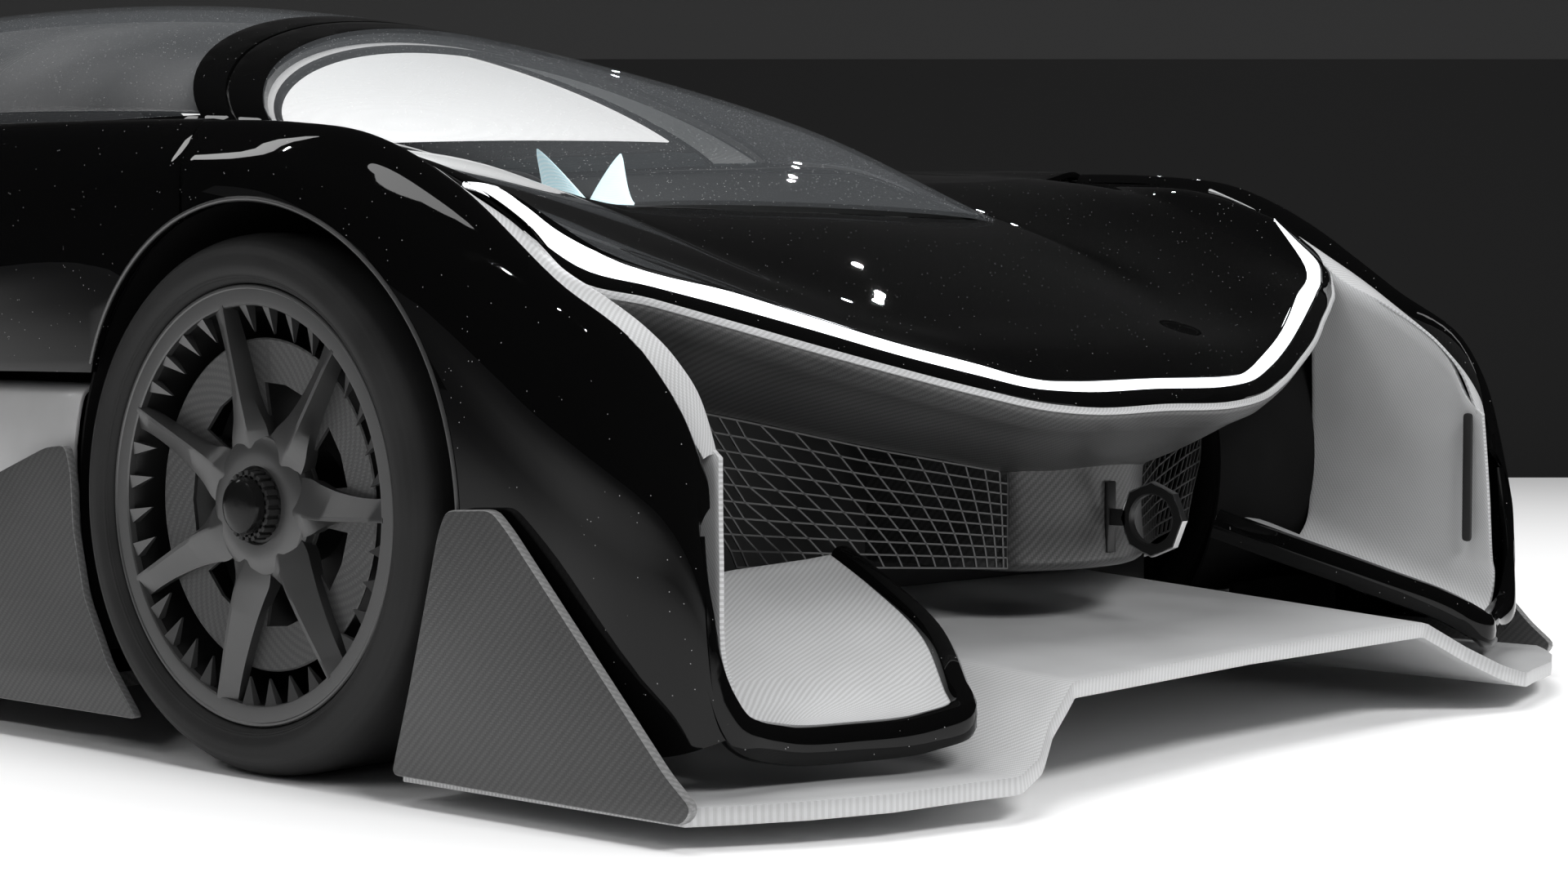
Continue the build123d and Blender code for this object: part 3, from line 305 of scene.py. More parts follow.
class Recipe:
    """One material and the nodes in it."""

    def __init__(self, name, **constants):
        self.material = bpy.data.materials.new(name)
        self.material.use_nodes = True
        self.tree = self.material.node_tree
        self.shader = self.tree.nodes["Principled BSDF"]
        self.set(**constants)

    def node(self, kind, settings, *values, output=0, **named):
        made = self.tree.nodes.new(kind)
        for key, value in settings.items():
            setattr(made, key, value)
        for key, value in [*enumerate(values), *named.items()]:
            self.feed(made.inputs[key], value)
        return Value(self, made.outputs[output])

    def feed(self, slot, value):
        if isinstance(value, Value):
            self.tree.links.new(value.socket, slot)
        else:
            slot.default_value = value

    def where(self, kind="Object"):
        """The place being shaded, in metres: in the object, or on its UV map."""
        return self.node("ShaderNodeTexCoord", {}, output=kind)

    def axes(self, kind="Object"):
        """The three parts of the place being shaded."""
        parts = self.node("ShaderNodeSeparateXYZ", {}, self.where(kind)).socket.node
        return [Value(self, part) for part in parts.outputs]

    def noise(self, scale, detail=3.0, rough=0.5):
        return self.node("ShaderNodeTexNoise", {}, Vector=self.where(), Scale=scale, Detail=detail,
                         Roughness=rough)

    def specks(self, scale, chance):
        """Small round spots, in some cells of a cell pattern, picked by their random value."""
        cells = self.node("ShaderNodeTexVoronoi", {}, Vector=self.where(), Scale=scale)
        pick = self.node("ShaderNodeSeparateColor", {}, Value(self, cells.socket.node.outputs["Color"]))
        return (pick > 1 - chance) * (cells < 0.2)

    def blend(self, mask, first, second):
        """Colour between two colours."""
        made = self.tree.nodes.new("ShaderNodeMix")
        made.data_type = "RGBA"
        for key, value in ((0, mask), (6, first), (7, second)):
            self.feed(made.inputs[key], value)
        return Value(self, made.outputs[2])

    def relief(self, height, depth):
        """Bump of a height from 0 to 1, worth depth metres, into the shader's normal."""
        bump = self.node("ShaderNodeBump", {}, Height=height, Strength=1.0, Distance=depth)
        self.feed(self.shader.inputs["Normal"], bump)

    def set(self, **sockets):
        for key, value in sockets.items():
            self.feed(self.shader.inputs[key.replace("_", " ").title().replace("Ior", "IOR")], value)


def grey(level, tint=(1.0, 1.0, 1.0)):
    return (*(level * part for part in tint), 1.0)


print("shader sums ready")


# %% [markdown]
# The black paint is a solid colour under clear coat. Close up, it holds a few settled specks of dust. A speck
# is the middle of one cell in a very small cell pattern, picked by the cell's random value.

# %% Black paint
def black_paint():
    paint = Recipe("black paint", coat_weight=1.0, coat_roughness=0.015, coat_ior=1.33,
                   specular_ior_level=0.0)
    speck = paint.specks(300.0, 0.02)
    paint.set(
        base_color=paint.blend(speck * 0.5, grey(0.002), grey(0.6)),
        roughness=0.25 + paint.noise(3.0) * 0.12 + speck * 0.3,
    )
    paint.relief(paint.noise(45.0, 2.0), 0.00004)
    return paint.material


BLACK_PAINT = black_paint()
print("paint ready")


# %% [markdown]
# Carbon twill is two sets of flat tows, two over and two under, one step along on each row, so that slanted
# lines run across it. The same sum makes it at any colour. It follows the piece's own UV map, in metres, as
# the real cloth follows its mould.

# %% Twill cloth under satin lacquer
TOW = 0.0019                     # width of one tow


def two_over_two(first, second):
    """1 where the tows of one set lie on top, 0 where those of the other do."""
    return ((first.maths("FLOOR") + second.maths("FLOOR")) % 4.0) < 1.5


def twill(name, dark, light, roughness, metallic=0.35, tow=TOW):
    cloth = Recipe(name, metallic=metallic, coat_weight=0.25, coat_roughness=0.28)
    u, v = (part / tow for part in cloth.axes("UV")[:2])
    over = two_over_two(u, v)
    along, across = ((part * math.pi).maths("SINE").maths("ABSOLUTE") for part in (u, v))
    height = over * across + (1 - over) * along
    cloud = cloth.noise(6.0)
    shade = over * 0.35 + height * 0.2 + cloud * 0.45
    cloth.set(base_color=cloth.blend(shade, dark, light), roughness=roughness + cloud * 0.14 - over * 0.05)
    cloth.relief(height, 0.00008)
    return cloth.material


SILVER_TWILL = twill("silver twill", grey(0.34), grey(0.66, (1.0, 1.01, 1.02)), 0.38, metallic=0.25)
GREY_TWILL = twill("grey twill", grey(0.035), grey(0.085), 0.42, metallic=0.2, tow=0.003)
# a darker copy of the grey twill, for the nose underside and the keel: painted shade under the hood
SHADED_NOSE_TWILL = twill("nose twill with painted shade", grey(0.012), grey(0.085), 0.34, metallic=0.3, tow=0.003)
print("twill repeats every", round(4 * TOW * 1000, 1), "mm")


# %% [markdown]
# The rest are satin metals and mouldings. Each has a cloud of slightly different gloss and a fine grain,
# because no made surface is even.

# %% Satin metals, mouldings and rubber
def satin(name, colour, roughness, metallic, grain=600.0, depth=0.00005, coat=0.0, spread=0.12,
          specular=0.5):
    metal = Recipe(name, metallic=metallic, coat_weight=coat, coat_roughness=0.1, specular_ior_level=specular)
    cloud = metal.noise(9.0)
    bright = (*(min(1.0, part * 1.25 + 0.004) for part in colour[:3]), 1.0)
    metal.set(base_color=metal.blend(cloud, colour, bright), roughness=roughness + cloud * spread)
    metal.relief(metal.noise(grain, 2.0), depth)
    return metal.material


WHEEL_METAL = satin("graphite wheel", grey(0.10), 0.33, 0.75)
DARK_METAL = satin("dark metal", grey(0.03), 0.3, 0.8)
BRIGHT_METAL = satin("machined metal", grey(0.5), 0.25, 1.0)
RIB_PITCH, RIBS_FROM = 0.012, -0.1           # ribs on the lining's back, and where along the car they start


def lining_back_finish():
    """Grey moulding with broad pale clouds of painted reflection, and fine cross ribs towards the back."""
    back = Recipe("lining back", metallic=0.5)
    cloud = back.noise(3.2, 1.5, 0.35)
    # pale clouds in the colour stand in for reflections on the glossy back
    painted_reflection = ((cloud - 0.38) * 3.0).maths("MAXIMUM", 0.0).maths("MINIMUM", 1.0)
    along = back.axes()[1]
    ribs = (along * (2 * math.pi / RIB_PITCH)).maths("SINE") * (along > RIBS_FROM)
    back.set(base_color=back.blend(painted_reflection, grey(0.05), grey(0.17)), roughness=0.2 + cloud * 0.15)
    back.relief(ribs * 0.5 + 0.5, 0.0012)
    return back.material


LINING_BACK = lining_back_finish()
SATIN_BLACK = satin("satin black moulding", grey(0.012), 0.5, 0.0)
LINER_BLACK = satin("black liner", grey(0.004), 0.75, 0.0, grain=300.0, depth=0.0002, specular=0.08)
GLOSS_BLACK = satin("gloss black cap", grey(0.004), 0.12, 0.0, coat=0.1, spread=0.04, specular=0.15)
SILVER_BODY = satin("silver lower body", grey(0.52), 0.32, 0.3, coat=0.4)
CASTING = satin("cast casing", grey(0.2), 0.45, 0.9, grain=300.0, depth=0.0002)
GRIP = satin("wrapped grip", grey(0.02), 0.6, 0.0, grain=900.0, depth=0.0002)


def rubber():
    tyre = Recipe("tyre rubber", specular_ior_level=0.25)
    cloud = tyre.noise(14.0, 6.0)
    tyre.set(base_color=tyre.blend(cloud, grey(0.010), grey(0.022)), roughness=0.48 + cloud * 0.22)
    tyre.relief(tyre.noise(500.0, 3.0), 0.00015)
    return tyre.material


TYRE_RUBBER = rubber()


def glowing(name, colour, strength):
    return Recipe(name, base_color=colour, roughness=0.25, coat_weight=0.6, emission_color=colour,
                  emission_strength=strength).material


LAMP_WHITE = glowing("white lamp", (0.95, 0.97, 1.0, 1.0), 1.6)
LAMP_RED = glowing("red lamp", (0.55, 0.02, 0.01, 1.0), 0.7)
print(len(bpy.data.materials), "materials so far")


# %% [markdown]
# The bubble is thin and clear. It is seen best by what it mirrors, so it is nearly transparent face on and
# mirrors more at a glancing angle. A Layer Weight node gives that, and dust on the crown dulls it a little.

# %% Clear bubble
def clear_glass():
    glass = Recipe("clear bubble")
    edge = glass.node("ShaderNodeLayerWeight", {}, Blend=0.4, output="Facing").maths("POWER", 4.0)
    dust = glass.specks(260.0, 0.07)
    glass.set(
        alpha=(0.07 + edge * 0.42 + dust * 0.3).maths("MINIMUM", 1.0),
        base_color=glass.blend(dust, (0.16, 0.17, 0.18, 1.0), grey(0.8)),
        roughness=0.02 + dust * 0.4,
    )
    return glass.material


CLEAR_GLASS = clear_glass()
print("clear glass ready")


# %% [markdown]
# The cabin is knitted cloth, and some of it has a painted glow, which shines though it is no lamp. Two
# slanted waves crossing each other make the stitches, and the same sum gives both their colour and their
# relief.

# %% Knitted cloth
PITCH = 0.0016                   # distance between stitches


def fabric(name, dark, light, lit=0.0):
    cloth = Recipe(name, emission_strength=lit, sheen_weight=0.3)
    x, y, z = cloth.axes()
    knit = ((x + y) * (math.pi / PITCH)).maths("SINE") * ((z - y) * (math.pi / PITCH)).maths("SINE")
    cloud = cloth.noise(20.0)
    colour = cloth.blend(0.5 + knit * 0.3 + cloud * 0.2, dark, light)
    cloth.set(base_color=colour, roughness=0.75 + cloud * 0.2)
    # lit is the strength of a painted glow that stands in for light: the cloth is no lamp
    if lit:
        cloth.set(emission_color=colour)
    cloth.relief(0.5 + knit * 0.5, 0.0003)
    return cloth.material


# the lining, the pillar trim and the dash wings glow with painted light
PAINTED_GLOW_LINING = fabric("white lining with painted glow", grey(0.76), grey(0.88), lit=1.15)
PALE_CLOTH = fabric("pale seat cloth", (0.55, 0.72, 0.76, 1.0), (0.75, 0.88, 0.9, 1.0))
PILLAR_TRIM = fabric("pillar trim", grey(0.34), grey(0.46), lit=0.12)
WING_CLOTH = fabric("wing cloth with painted glow", (0.35, 0.74, 0.85, 1.0), (0.85, 0.97, 1.0, 1.0), lit=0.55)
print(len(bpy.data.materials), "materials")


# %% [markdown]
# The hood is one long wedge between two creases that fan out towards the wheels. Its ribs run fore and aft,
# each a few points from the lamp strip back to the glass. The skin over them is the whole hood in one piece,
# because a join on the centre line would break the reflection.

# %% Hood
def panel(name, grid, material, towards, wall=0.006, radius=0.0015, **where):
    """Skin over a grid, with a wall behind the side that faces towards a direction."""
    obj = add_object(name, face_towards(mesh_from_grid(name, grid), towards))
    return settle(thicken(obj, wall, radius), material, **where)


HOOD_RIBS = [behind(rib) for rib in (
    [(0, -.667, .485), (0, -.62, .519), (0, -.5, .571), (0, -.35, .630), (0, -.2, .686), (0, -.085, .717)],
    [(.19, -.665, .485), (.195, -.61, .522), (.21, -.5, .566), (.225, -.35, .625), (.235, -.2, .682),
     (.24, -.083, .716)],
    [(.262, -.650, .491), (.280, -.60, .523), (.328, -.5, .560), (.388, -.34, .620), (.414, -.2, .677),
     (.425, -.072, .719)],
    [(.44, -.588, .535), (.452, -.53, .551), (.47, -.43, .590), (.475, -.30, .645), (.465, -.12, .706),
     (.47, .12, .776)],
    [(.641, -.499, .597), (.645, -.45, .612), (.65, -.36, .640), (.655, -.23, .688), (.65, -.08, .745),
     (.65, .12, .792)],
    [(.79, -.424, .645), (.80, -.37, .665), (.805, -.30, .694), (.805, -.20, .728), (.80, -.06, .772),
     (.79, .12, .801)],
    [(.869, -.318, .723), (.873, -.28, .736), (.880, -.22, .755), (.885, -.135, .776), (.885, -.02, .786),
     (.885, .12, .797)],
    [(.897, -.303, .726), (.8985, -.252, .745), (.909, -.199, .764), (.926, -.135, .779), (.924, -.06, .788),
     (.925, .12, .797)],
)]
hood_grid = skin([mirrored(rib) for rib in HOOD_RIBS[:0:-1]] + HOOD_RIBS, 6, 10)
hood = panel("hood_skin", hood_grid, BLACK_PAINT, (0, 0, 1), slot="gloss_black", nodes=["hood"])
print("hood", len(hood.data.polygons), "faces")


# %% [markdown]
# Under the hood's front edge runs one unbroken lamp, from tail to tail, with a black lip below it. Both are
# shares of the same band between two edge lines, so they can't drift apart. Below the lip, the carbon nose
# starts with a rolled edge in silver twill, a painted highlight where the dark nose catches the light.

# %% Lamp strip, lip and rolled edge
BAND = np.array([
    (0, -.667, .485, 0, -.690, .449, .40), (.19, -.664, .485, .178, -.687, .449, .40),
    (.262, -.650, .491, .262, -.676, .457, .42), (.329, -.630, .507, .357, -.651, .476, .44),
    (.440, -.588, .535, .469, -.612, .503, .46), (.542, -.543, .567, .576, -.572, .531, .48),
    (.641, -.499, .597, .672, -.528, .559, .52), (.733, -.453, .623, .767, -.485, .586, .56),
    (.804, -.415, .649, .853, -.438, .611, .62), (.834, -.391, .670, .877, -.418, .637, .66),
    (.847, -.350, .699, .884, -.370, .678, .68), (.869, -.318, .723, .893, -.325, .707, .72),
    (.897, -.303, .726, .8985, -.303, .718, .90),
])


def full_width(points):
    """A line from the centre outwards, continued to the other side."""
    return np.concatenate([mirrored(points[:0:-1]), points])


def edges_of(band):
    upper, lower = full_width(behind(band[:, 0:3])), full_width(behind(band[:, 3:6]))
    share = np.concatenate([band[:0:-1, 6], band[:, 6]])[:, None]
    return through(np.stack([upper, upper + (lower - upper) * share, lower], axis=1), 6).swapaxes(0, 1)


def inboard(line):
    """Level unit vectors into the car, square to a line that runs across it."""
    heading = np.gradient(line, axis=0)
    return unit(np.stack([-heading[:, 1], heading[:, 0], 0 * heading[:, 0]], axis=1))


band_top, lamp_foot, band_foot = edges_of(BAND)
into = inboard(band_foot)
DOWN = np.array((0, 0, -1.0))
# share of the way down the lamp, and depth into the car
LAMP_BULGE = ((.03, .002), (.25, -.0005), (.5, -.001), (.75, -.0005), (.97, .002))
lamp_grid = np.stack([
    band_top + (lamp_foot - band_top) * share + into * depth for share, depth in LAMP_BULGE], axis=1)
panel("lamp_lens", lamp_grid, LAMP_WHITE, (0, -1, 1), .010, 0, slot="lamp_white", nodes=["light_strip"])
lip_grid = np.stack([
    lamp_foot, lamp_foot * .6 + band_foot * .4 - into * .002, lamp_foot * .2 + band_foot * .8 - into * .001,
    band_foot + into * .002, band_foot + into * .012 + DOWN * .002,
], axis=1)
panel("lip", lip_grid, BLACK_PAINT, (0, -1, 1), .008, .001, slot="gloss_black", nodes=["nose_lip"])
print("lamp strip", round(float(np.linalg.norm(np.diff(band_top, axis=0), axis=1).sum()), 3), "m long")


# %% [markdown]
# The carbon nose falls from that edge, first round a roll and then back under the hood to the radiator
# openings. In the middle it goes down as a keel that the tow hook is bolted to.

# %% Nose underside and keel
ROOTS = behind([
    (0, -.597, .366), (.110, -.573, .362), (.150, -.545, .362), (.240, -.500, .380), (.330, -.458, .398),
    (.430, -.420, .420), (.500, -.396, .436), (.580, -.372, .452), (.690, -.350, .475), (.800, -.345, .50),
])
outer_edge = behind(BAND[:10, 3:6])
roots_line = through(full_width(ROOTS), 6)
edge_line = through(full_width(outer_edge), 6)
back = inboard(edge_line)
nose_grid = np.stack([
    edge_line + back * .004 + DOWN * .001, edge_line + back * .001 + DOWN * .008,
    edge_line + back * .007 + DOWN * .018, edge_line * .72 + roots_line * .28 + DOWN * .014,
    edge_line * .4 + roots_line * .6 + DOWN * .012, roots_line,
], axis=1)
# the nose underside is darker than the other dark carbon: painted shade
nose = panel("nose_underside", columns_through(nose_grid, 3), SHADED_NOSE_TWILL, (0, -1, -.5), .006, .001,
             slot="dark_carbon", nodes=["nose_keel"])
# the rolled edge is silver twill on the dark nose: a painted highlight where the edge catches the light
EDGE_ROLL, ROLL_DEPTH = .0055, .003      # radius of the bright rolled edge, and how far in its middle lies
roll_grid = np.stack([
    edge_line + back * (ROLL_DEPTH + EDGE_ROLL * math.sin(a)) + DOWN * (ROLL_DEPTH + EDGE_ROLL * math.cos(a))
    for a in circle(8)], axis=1)
settle(add_object("nose_edge_highlight", mesh_from_grid("nose_edge_highlight", roll_grid, closed=True)), SILVER_TWILL,
       slot="silver_carbon")
KEEL_PLAN = behind([(0, -.597, 0), (.060, -.592, 0), (.110, -.573, 0), (.140, -.554, 0), (.152, -.525, 0),
                    (.152, -.42, 0), (.152, -.30, 0)])
keel_plan = through(full_width(KEEL_PLAN), 5)
KEEL_LEVELS = ((.372, .002), (.34, 0), (.29, 0), (.25, .003), (.238, .002), (.231, -.006), (.229, -.030))
keel_rows = [keel_plan * (1, 1, 0) - inboard(keel_plan) * wider + (0, 0, z) for z, wider in KEEL_LEVELS]
keel = panel("keel", through(keel_rows, 3), SHADED_NOSE_TWILL, (0, -1, 0), .006, 0, slot="dark_carbon")
print("nose", len(nose.data.polygons) + len(keel.data.polygons), "faces")


# %% [markdown]
# The mesh in each radiator opening is a lattice whose uprights crowd together towards the keel. That is a
# rule, so Geometry Nodes build it: a net of edges goes in, and each edge comes out as a flat bar.

# %% Radiator mesh with Geometry Nodes
def tree_of(name, sizes):
    """A node tree with geometry in and out and named number inputs."""
    tree = bpy.data.node_groups.new(name, "GeometryNodeTree")
    tree.interface.new_socket("Geometry", in_out="INPUT", socket_type="NodeSocketGeometry")
    for label, value in sizes.items():
        kind = "NodeSocketInt" if isinstance(value, int) else "NodeSocketFloat"
        tree.interface.new_socket(label, in_out="INPUT", socket_type=kind).default_value = value
    tree.interface.new_socket("Geometry", in_out="OUTPUT", socket_type="NodeSocketGeometry")
    return tree, tree.nodes.new("NodeGroupInput"), tree.nodes.new("NodeGroupOutput")


def finish_tree(tree, geometry, outlet, material):
    """Realize the instances, set the material and link to the output."""
    real = tree.nodes.new("GeometryNodeRealizeInstances")
    paint = tree.nodes.new("GeometryNodeSetMaterial")
    paint.inputs["Material"].default_value = material
    tree.links.new(geometry, real.inputs[0])
    tree.links.new(real.outputs[0], paint.inputs["Geometry"])
    tree.links.new(paint.outputs[0], outlet.inputs[0])
    return tree


def grow(obj, tree, sizes):
    """Run a tree on an object, with sizes by name, and keep the result as its mesh."""
    modifier = obj.modifiers.new("nodes", "NODES")
    modifier.node_group = tree
    for item in tree.interface.items_tree:
        if item.in_out == "INPUT" and item.name in sizes:
            modifier[item.identifier] = sizes[item.name]
    return bake(obj)


BAR_SIZES = {"Bar width": 0.0030, "Bar depth": 0.0022}


def bars_tree():
    """Tree that makes a flat bar, with closed ends, of every edge."""
    tree, inlet, outlet = tree_of("lattice bars", BAR_SIZES)
    lines, section, bars = (tree.nodes.new(f"GeometryNode{kind}")
                            for kind in ("MeshToCurve", "CurvePrimitiveQuadrilateral", "CurveToMesh"))
    bars.inputs["Fill Caps"].default_value = True
    for source, target in (
        (inlet.outputs[0], lines.inputs[0]), (inlet.outputs["Bar width"], section.inputs["Width"]),
        (inlet.outputs["Bar depth"], section.inputs["Height"]), (lines.outputs[0], bars.inputs["Curve"]),
        (section.outputs[0], bars.inputs["Profile Curve"]),
    ):
        tree.links.new(source, target)
    return finish_tree(tree, bars.outputs[0], outlet, WHEEL_METAL)


GRILLE_TOP = behind([(.150, -.545, .362), (.330, -.458, .398), (.500, -.396, .436), (.580, -.372, .452)])
GRILLE_FOOT = behind([(.150, -.545, .236), (.330, -.458, .244), (.500, -.396, .252), (.580, -.372, .258)])
UPRIGHTS, LEVELS, CROWDING, LEAN = 19, 10, 1.5, 2.4            # bars each way; how uprights crowd and lean


def net(side):
    """Edges of the lattice on one side, its uprights leaning and crowding towards the keel."""
    places = np.linspace(0, 1, UPRIGHTS) ** CROWDING * 3
    rows = []
    for share in np.linspace(0, 1, LEVELS):
        leaning = np.clip(places + LEAN * (share ** 1.4 - .35) * places / 3, 0, 3)
        top, foot = (np.stack([np.interp(leaning, range(4), line[:, k]) for k in range(3)], axis=1)
                     for line in (GRILLE_TOP, GRILLE_FOOT))
        rows.append(foot + (top - foot) * share + (0, 0.006, -0.002))
    grid = np.array(rows) * (side, 1, 1)
    mesh = bpy.data.meshes.new("net")
    edges = [(i * UPRIGHTS + j, i * UPRIGHTS + j + 1) for i in range(LEVELS) for j in range(UPRIGHTS - 1)]
    edges += [(i * UPRIGHTS + j, (i + 1) * UPRIGHTS + j) for i in range(LEVELS - 1) for j in range(UPRIGHTS)]
    mesh.from_pydata(grid.reshape(-1, 3).tolist(), edges, [])
    return mesh


grilles = grow(join("radiator_mesh", [net(side) for name, side in SIDES]), bars_tree(), BAR_SIZES)
settle(grilles, WHEEL_METAL, slot="satin_black", nodes=["front_grilles"], crease=20)
print("radiator mesh", len(grilles.data.polygons), "faces")


# %% [markdown]
# The front fender is a tall blade. Six lines run along it: the inner edge, the crest, the shoulder, the
# flank, a low line and the foot. The wheel arch is cut afterwards as a true circle, because the eye compares
# it with the tyre.

# %% Front fenders
FENDER_ROWS = [
    behind([(.899, -.697, .36), (.914, -.699, .345), (.926, -.712, .30), (.929, -.720, .22),
            (.922, -.725, .155), (.905, -.731, .112)]),
    behind([(.899, -.682, .413), (.914, -.680, .445), (.936, -.682, .40), (.944, -.686, .28),
            (.942, -.688, .17), (.935, -.692, .095)]),
    rib(-.64, (.916, .468), (.926, .512), (.955, .44), (.962, .30), (.958, .18), (.948, .085)),
    rib(-.50, (.929, .587), (.940, .610), (.966, .53), (.972, .38), (.968, .22), (.960, .08)),
    rib(-.34, (.913, .690), (.936, .718), (.970, .66), (.978, .50), (.975, .30), (.970, .08)),
    rib(-.19, (.917, .762), (.942, .784), (.978, .73), (.986, .62), (.984, .45), (.978, .28)),
    rib(-.06, (.924, .788), (.944, .803), (.982, .76), (.989, .68), (.986, .56), (.98, .45)),
    rib(.117, (.925, .797), (.944, .813), (.978, .775), (.986, .705), (.985, .60), (.984, .495)),
]
FRONT_ARCH, REAR_ARCH = FRONT_R + .037, REAR_R + .040          # radii of the wheel arches


def arched(name, rows, steps, side, towards, holes, nodes):
    """Painted side panel with wheel arches cut through it, and every edge rounded."""
    grid = skin(rows, steps, steps) * (side, 1, 1)
    obj = thicken(add_object(name, face_towards(mesh_from_grid(name, grid), towards)), .009, 0)
    for hole in holes:
        cut(obj, *hole)
    return settle(soften(obj, .004, 4), BLACK_PAINT, slot="gloss_black", nodes=nodes)


fenders = []
for name, side in SIDES:
    hole = (side, FRONT_Y, FRONT_R), FRONT_ARCH, 4.0
    fenders.append(arched(f"fender_{name}", FENDER_ROWS, 8, side, (side, 0, .2), [hole],
                          [f"front_fender_{name}"]))
print("fenders", len(fenders[0].data.polygons), "faces each")


# %% [markdown]
# Each fender's foot turns inboard as a black rim that frames an open loop. It is one bar of rounded section,
# swept along twelve points. The section is a squared ellipse, so that a long highlight runs along the bar.

# %% Loop rims
LOOP = behind([
    (.916, -.700, .330), (.920, -.712, .230), (.910, -.720, .160), (.888, -.727, .118), (.830, -.737, .098),
    (.745, -.770, .094), (.662, -.812, .101), (.616, -.826, .114), (.598, -.802, .132), (.526, -.712, .178),
    (.468, -.588, .224), (.434, -.490, .258),
])


def sweep(path, half_width, half_height, taper):
    """Rounded bar along a path: its section is a superellipse, level across the path."""
    heading = np.gradient(path, axis=0)
    level = unit(np.cross(heading, (0, 0, 1)))
    upright = unit(np.cross(level, heading))
    rings = []
    for angle in circle(12):
        a, b = (math.copysign(abs(part) ** .7, part) for part in (math.cos(angle), math.sin(angle)))
        rings.append(path + (level * a * half_width + upright * b * half_height) * taper[:, None])
    return np.stack(rings, axis=1)


def capped(name, grid):
    """Closed bar: the swept skin with both ends filled, and its faces outwards."""
    mesh = mesh_from_grid(name, grid, closed=True)
    with editing(mesh) as bm:
        bmesh.ops.holes_fill(bm, edges=[edge for edge in bm.edges if edge.is_boundary])
        bmesh.ops.recalc_face_normals(bm, faces=bm.faces)
    return mesh


path = through(LOOP, 8)
growth = np.interp(np.arange(len(path)), [0, 14, 26], [.25, .6, 1])       # the bar thins out up the fender
for name, side in SIDES:
    rim = add_object(f"loop_rim_{name}", capped("loop", sweep(path, .016, .023, growth) * (side, 1, 1)))
    settle(rim, BLACK_PAINT, slot="gloss_black")
print("loop rims", len(rim.data.polygons), "faces each")


# %% [markdown]
# Inside the blade, silver carbon makes a stripe along the top of the fender. It widens into a roll, drops as
# a wall and turns in as the winglet floor. A stripe that grows out of a panel is drawn as one skin, so the
# cloth runs on without a break.

# %% Silver stripe and inner panel
OUTER_LINE = behind([
    (.942, -.147, .778), (.916, -.199, .759), (.912, -.252, .736), (.912, -.309, .708), (.918, -.370, .674),
    (.926, -.446, .626), (.930, -.516, .575), (.926, -.576, .527), (.918, -.630, .479), (.906, -.668, .443),
    (.895, -.684, .413),
])
INNER_LINE = behind([
    (.931, -.135, .781), (.909, -.199, .764), (.8985, -.252, .745), (.897, -.309, .7145), (.884, -.370, .678),
    (.874, -.446, .622), (.872, -.516, .588), (.872, -.576, .555), (.872, -.622, .520), (.872, -.658, .478),
    (.872, -.684, .414),
])


# the winglet floor's height at one corner, that corner's x and distance ahead of the axle, and its two slopes
FLOOR_Z, FLOOR_X, FLOOR_AHEAD, CLIMB, LEAN_IN = .109, .711, .761, .34, .22


def winglet_z(point):
    """Height of the winglet's floor, which climbs rearwards and towards the middle of the car."""
    return FLOOR_Z + CLIMB * (point[..., 1] - FRONT_Y + FLOOR_AHEAD) + LEAN_IN * (FLOOR_X - point[..., 0])


stripe_half = np.stack([OUTER_LINE, (OUTER_LINE + INNER_LINE) / 2 + (-.002, -.001, .004), INNER_LINE], axis=1)
WALL_X, WALL_TOP_MIN = .872, .36
wall_y = np.linspace(-.702, -.385, 12) + FRONT_Y
wall_top = np.interp(wall_y, INNER_LINE[:3:-1, 1], INNER_LINE[:3:-1, 2])
wall_rows = []
for fade, y, z in zip(np.linspace(.010, 0, len(wall_y)), wall_y, wall_top):
    top, knee = np.array((WALL_X, y + fade, max(z, WALL_TOP_MIN))), np.array((WALL_X, y - fade, 0))
    knee[2] = winglet_z(knee)
    wall_rows.append([top, top * .66 + knee * .34 + (.006, 0, 0), top * .3 + knee * .7 + (.008, 0, 0),
                      knee + (.004, 0, .075), knee + (-.008, 0, .030), knee + (-.035, 0, .006)])
for name, side in SIDES:
    grid = skin(stripe_half, 8, 4) * (side, 1, 1)
    panel(f"stripe_{name}", grid, SILVER_TWILL, (-side * .3, -.2, 1), .004, .0006, slot="silver_carbon")
    grid = skin(wall_rows, 4, 5) * (side, 1, 1)
    panel(f"inner_wall_{name}", grid, SILVER_TWILL, (-side, 0, 0), .008, .001, slot="silver_carbon",
          nodes=[f"inner_panel_{name}"])
print("inner panels", len(grid), "rows")


# %% [markdown]
# The winglet floor fills the loop between the wall and the black rim. It is ruled from one to the other, with
# a slight crown, and its rear edge stays open so that air leaves over it.

# %% Winglet floors
INNER_EDGE = through(LOOP[5:], 6)
SHARES = np.linspace(0, 1, len(INNER_EDGE))
OUTER_X, OUTER_FROM, OUTER_LENGTH = .842, -.722, .337
OUTER_EDGE = np.stack([
    np.full(len(SHARES), OUTER_X), FRONT_Y + OUTER_FROM + SHARES ** 1.15 * OUTER_LENGTH, 0 * SHARES], axis=1)
OUTER_EDGE[:, 2] = winglet_z(OUTER_EDGE) + .004
CENTRE_RISE, RIM_RISE = .010, .012
floor_rows = np.stack([
    INNER_EDGE * (1 - t) + OUTER_EDGE * t
    + (0, 0, CENTRE_RISE * math.sin(math.pi * t) ** 2 + RIM_RISE * (1 - t))
    for t in np.linspace(0, 1, 9)
], axis=1)
for name, side in SIDES:
    panel(f"winglet_floor_{name}", floor_rows * (side, 1, 1), SILVER_TWILL, (0, 0, 1), .007, .001,
          slot="silver_carbon")
print("winglet floors", floor_rows.shape[0] * floor_rows.shape[1], "points each")


# %% [markdown]
# The splitter is a plank of carbon that steps down from its raised middle to two low tips. Its top is a level
# section at the leading edge and another at the rear, with every point between them a share of the two.

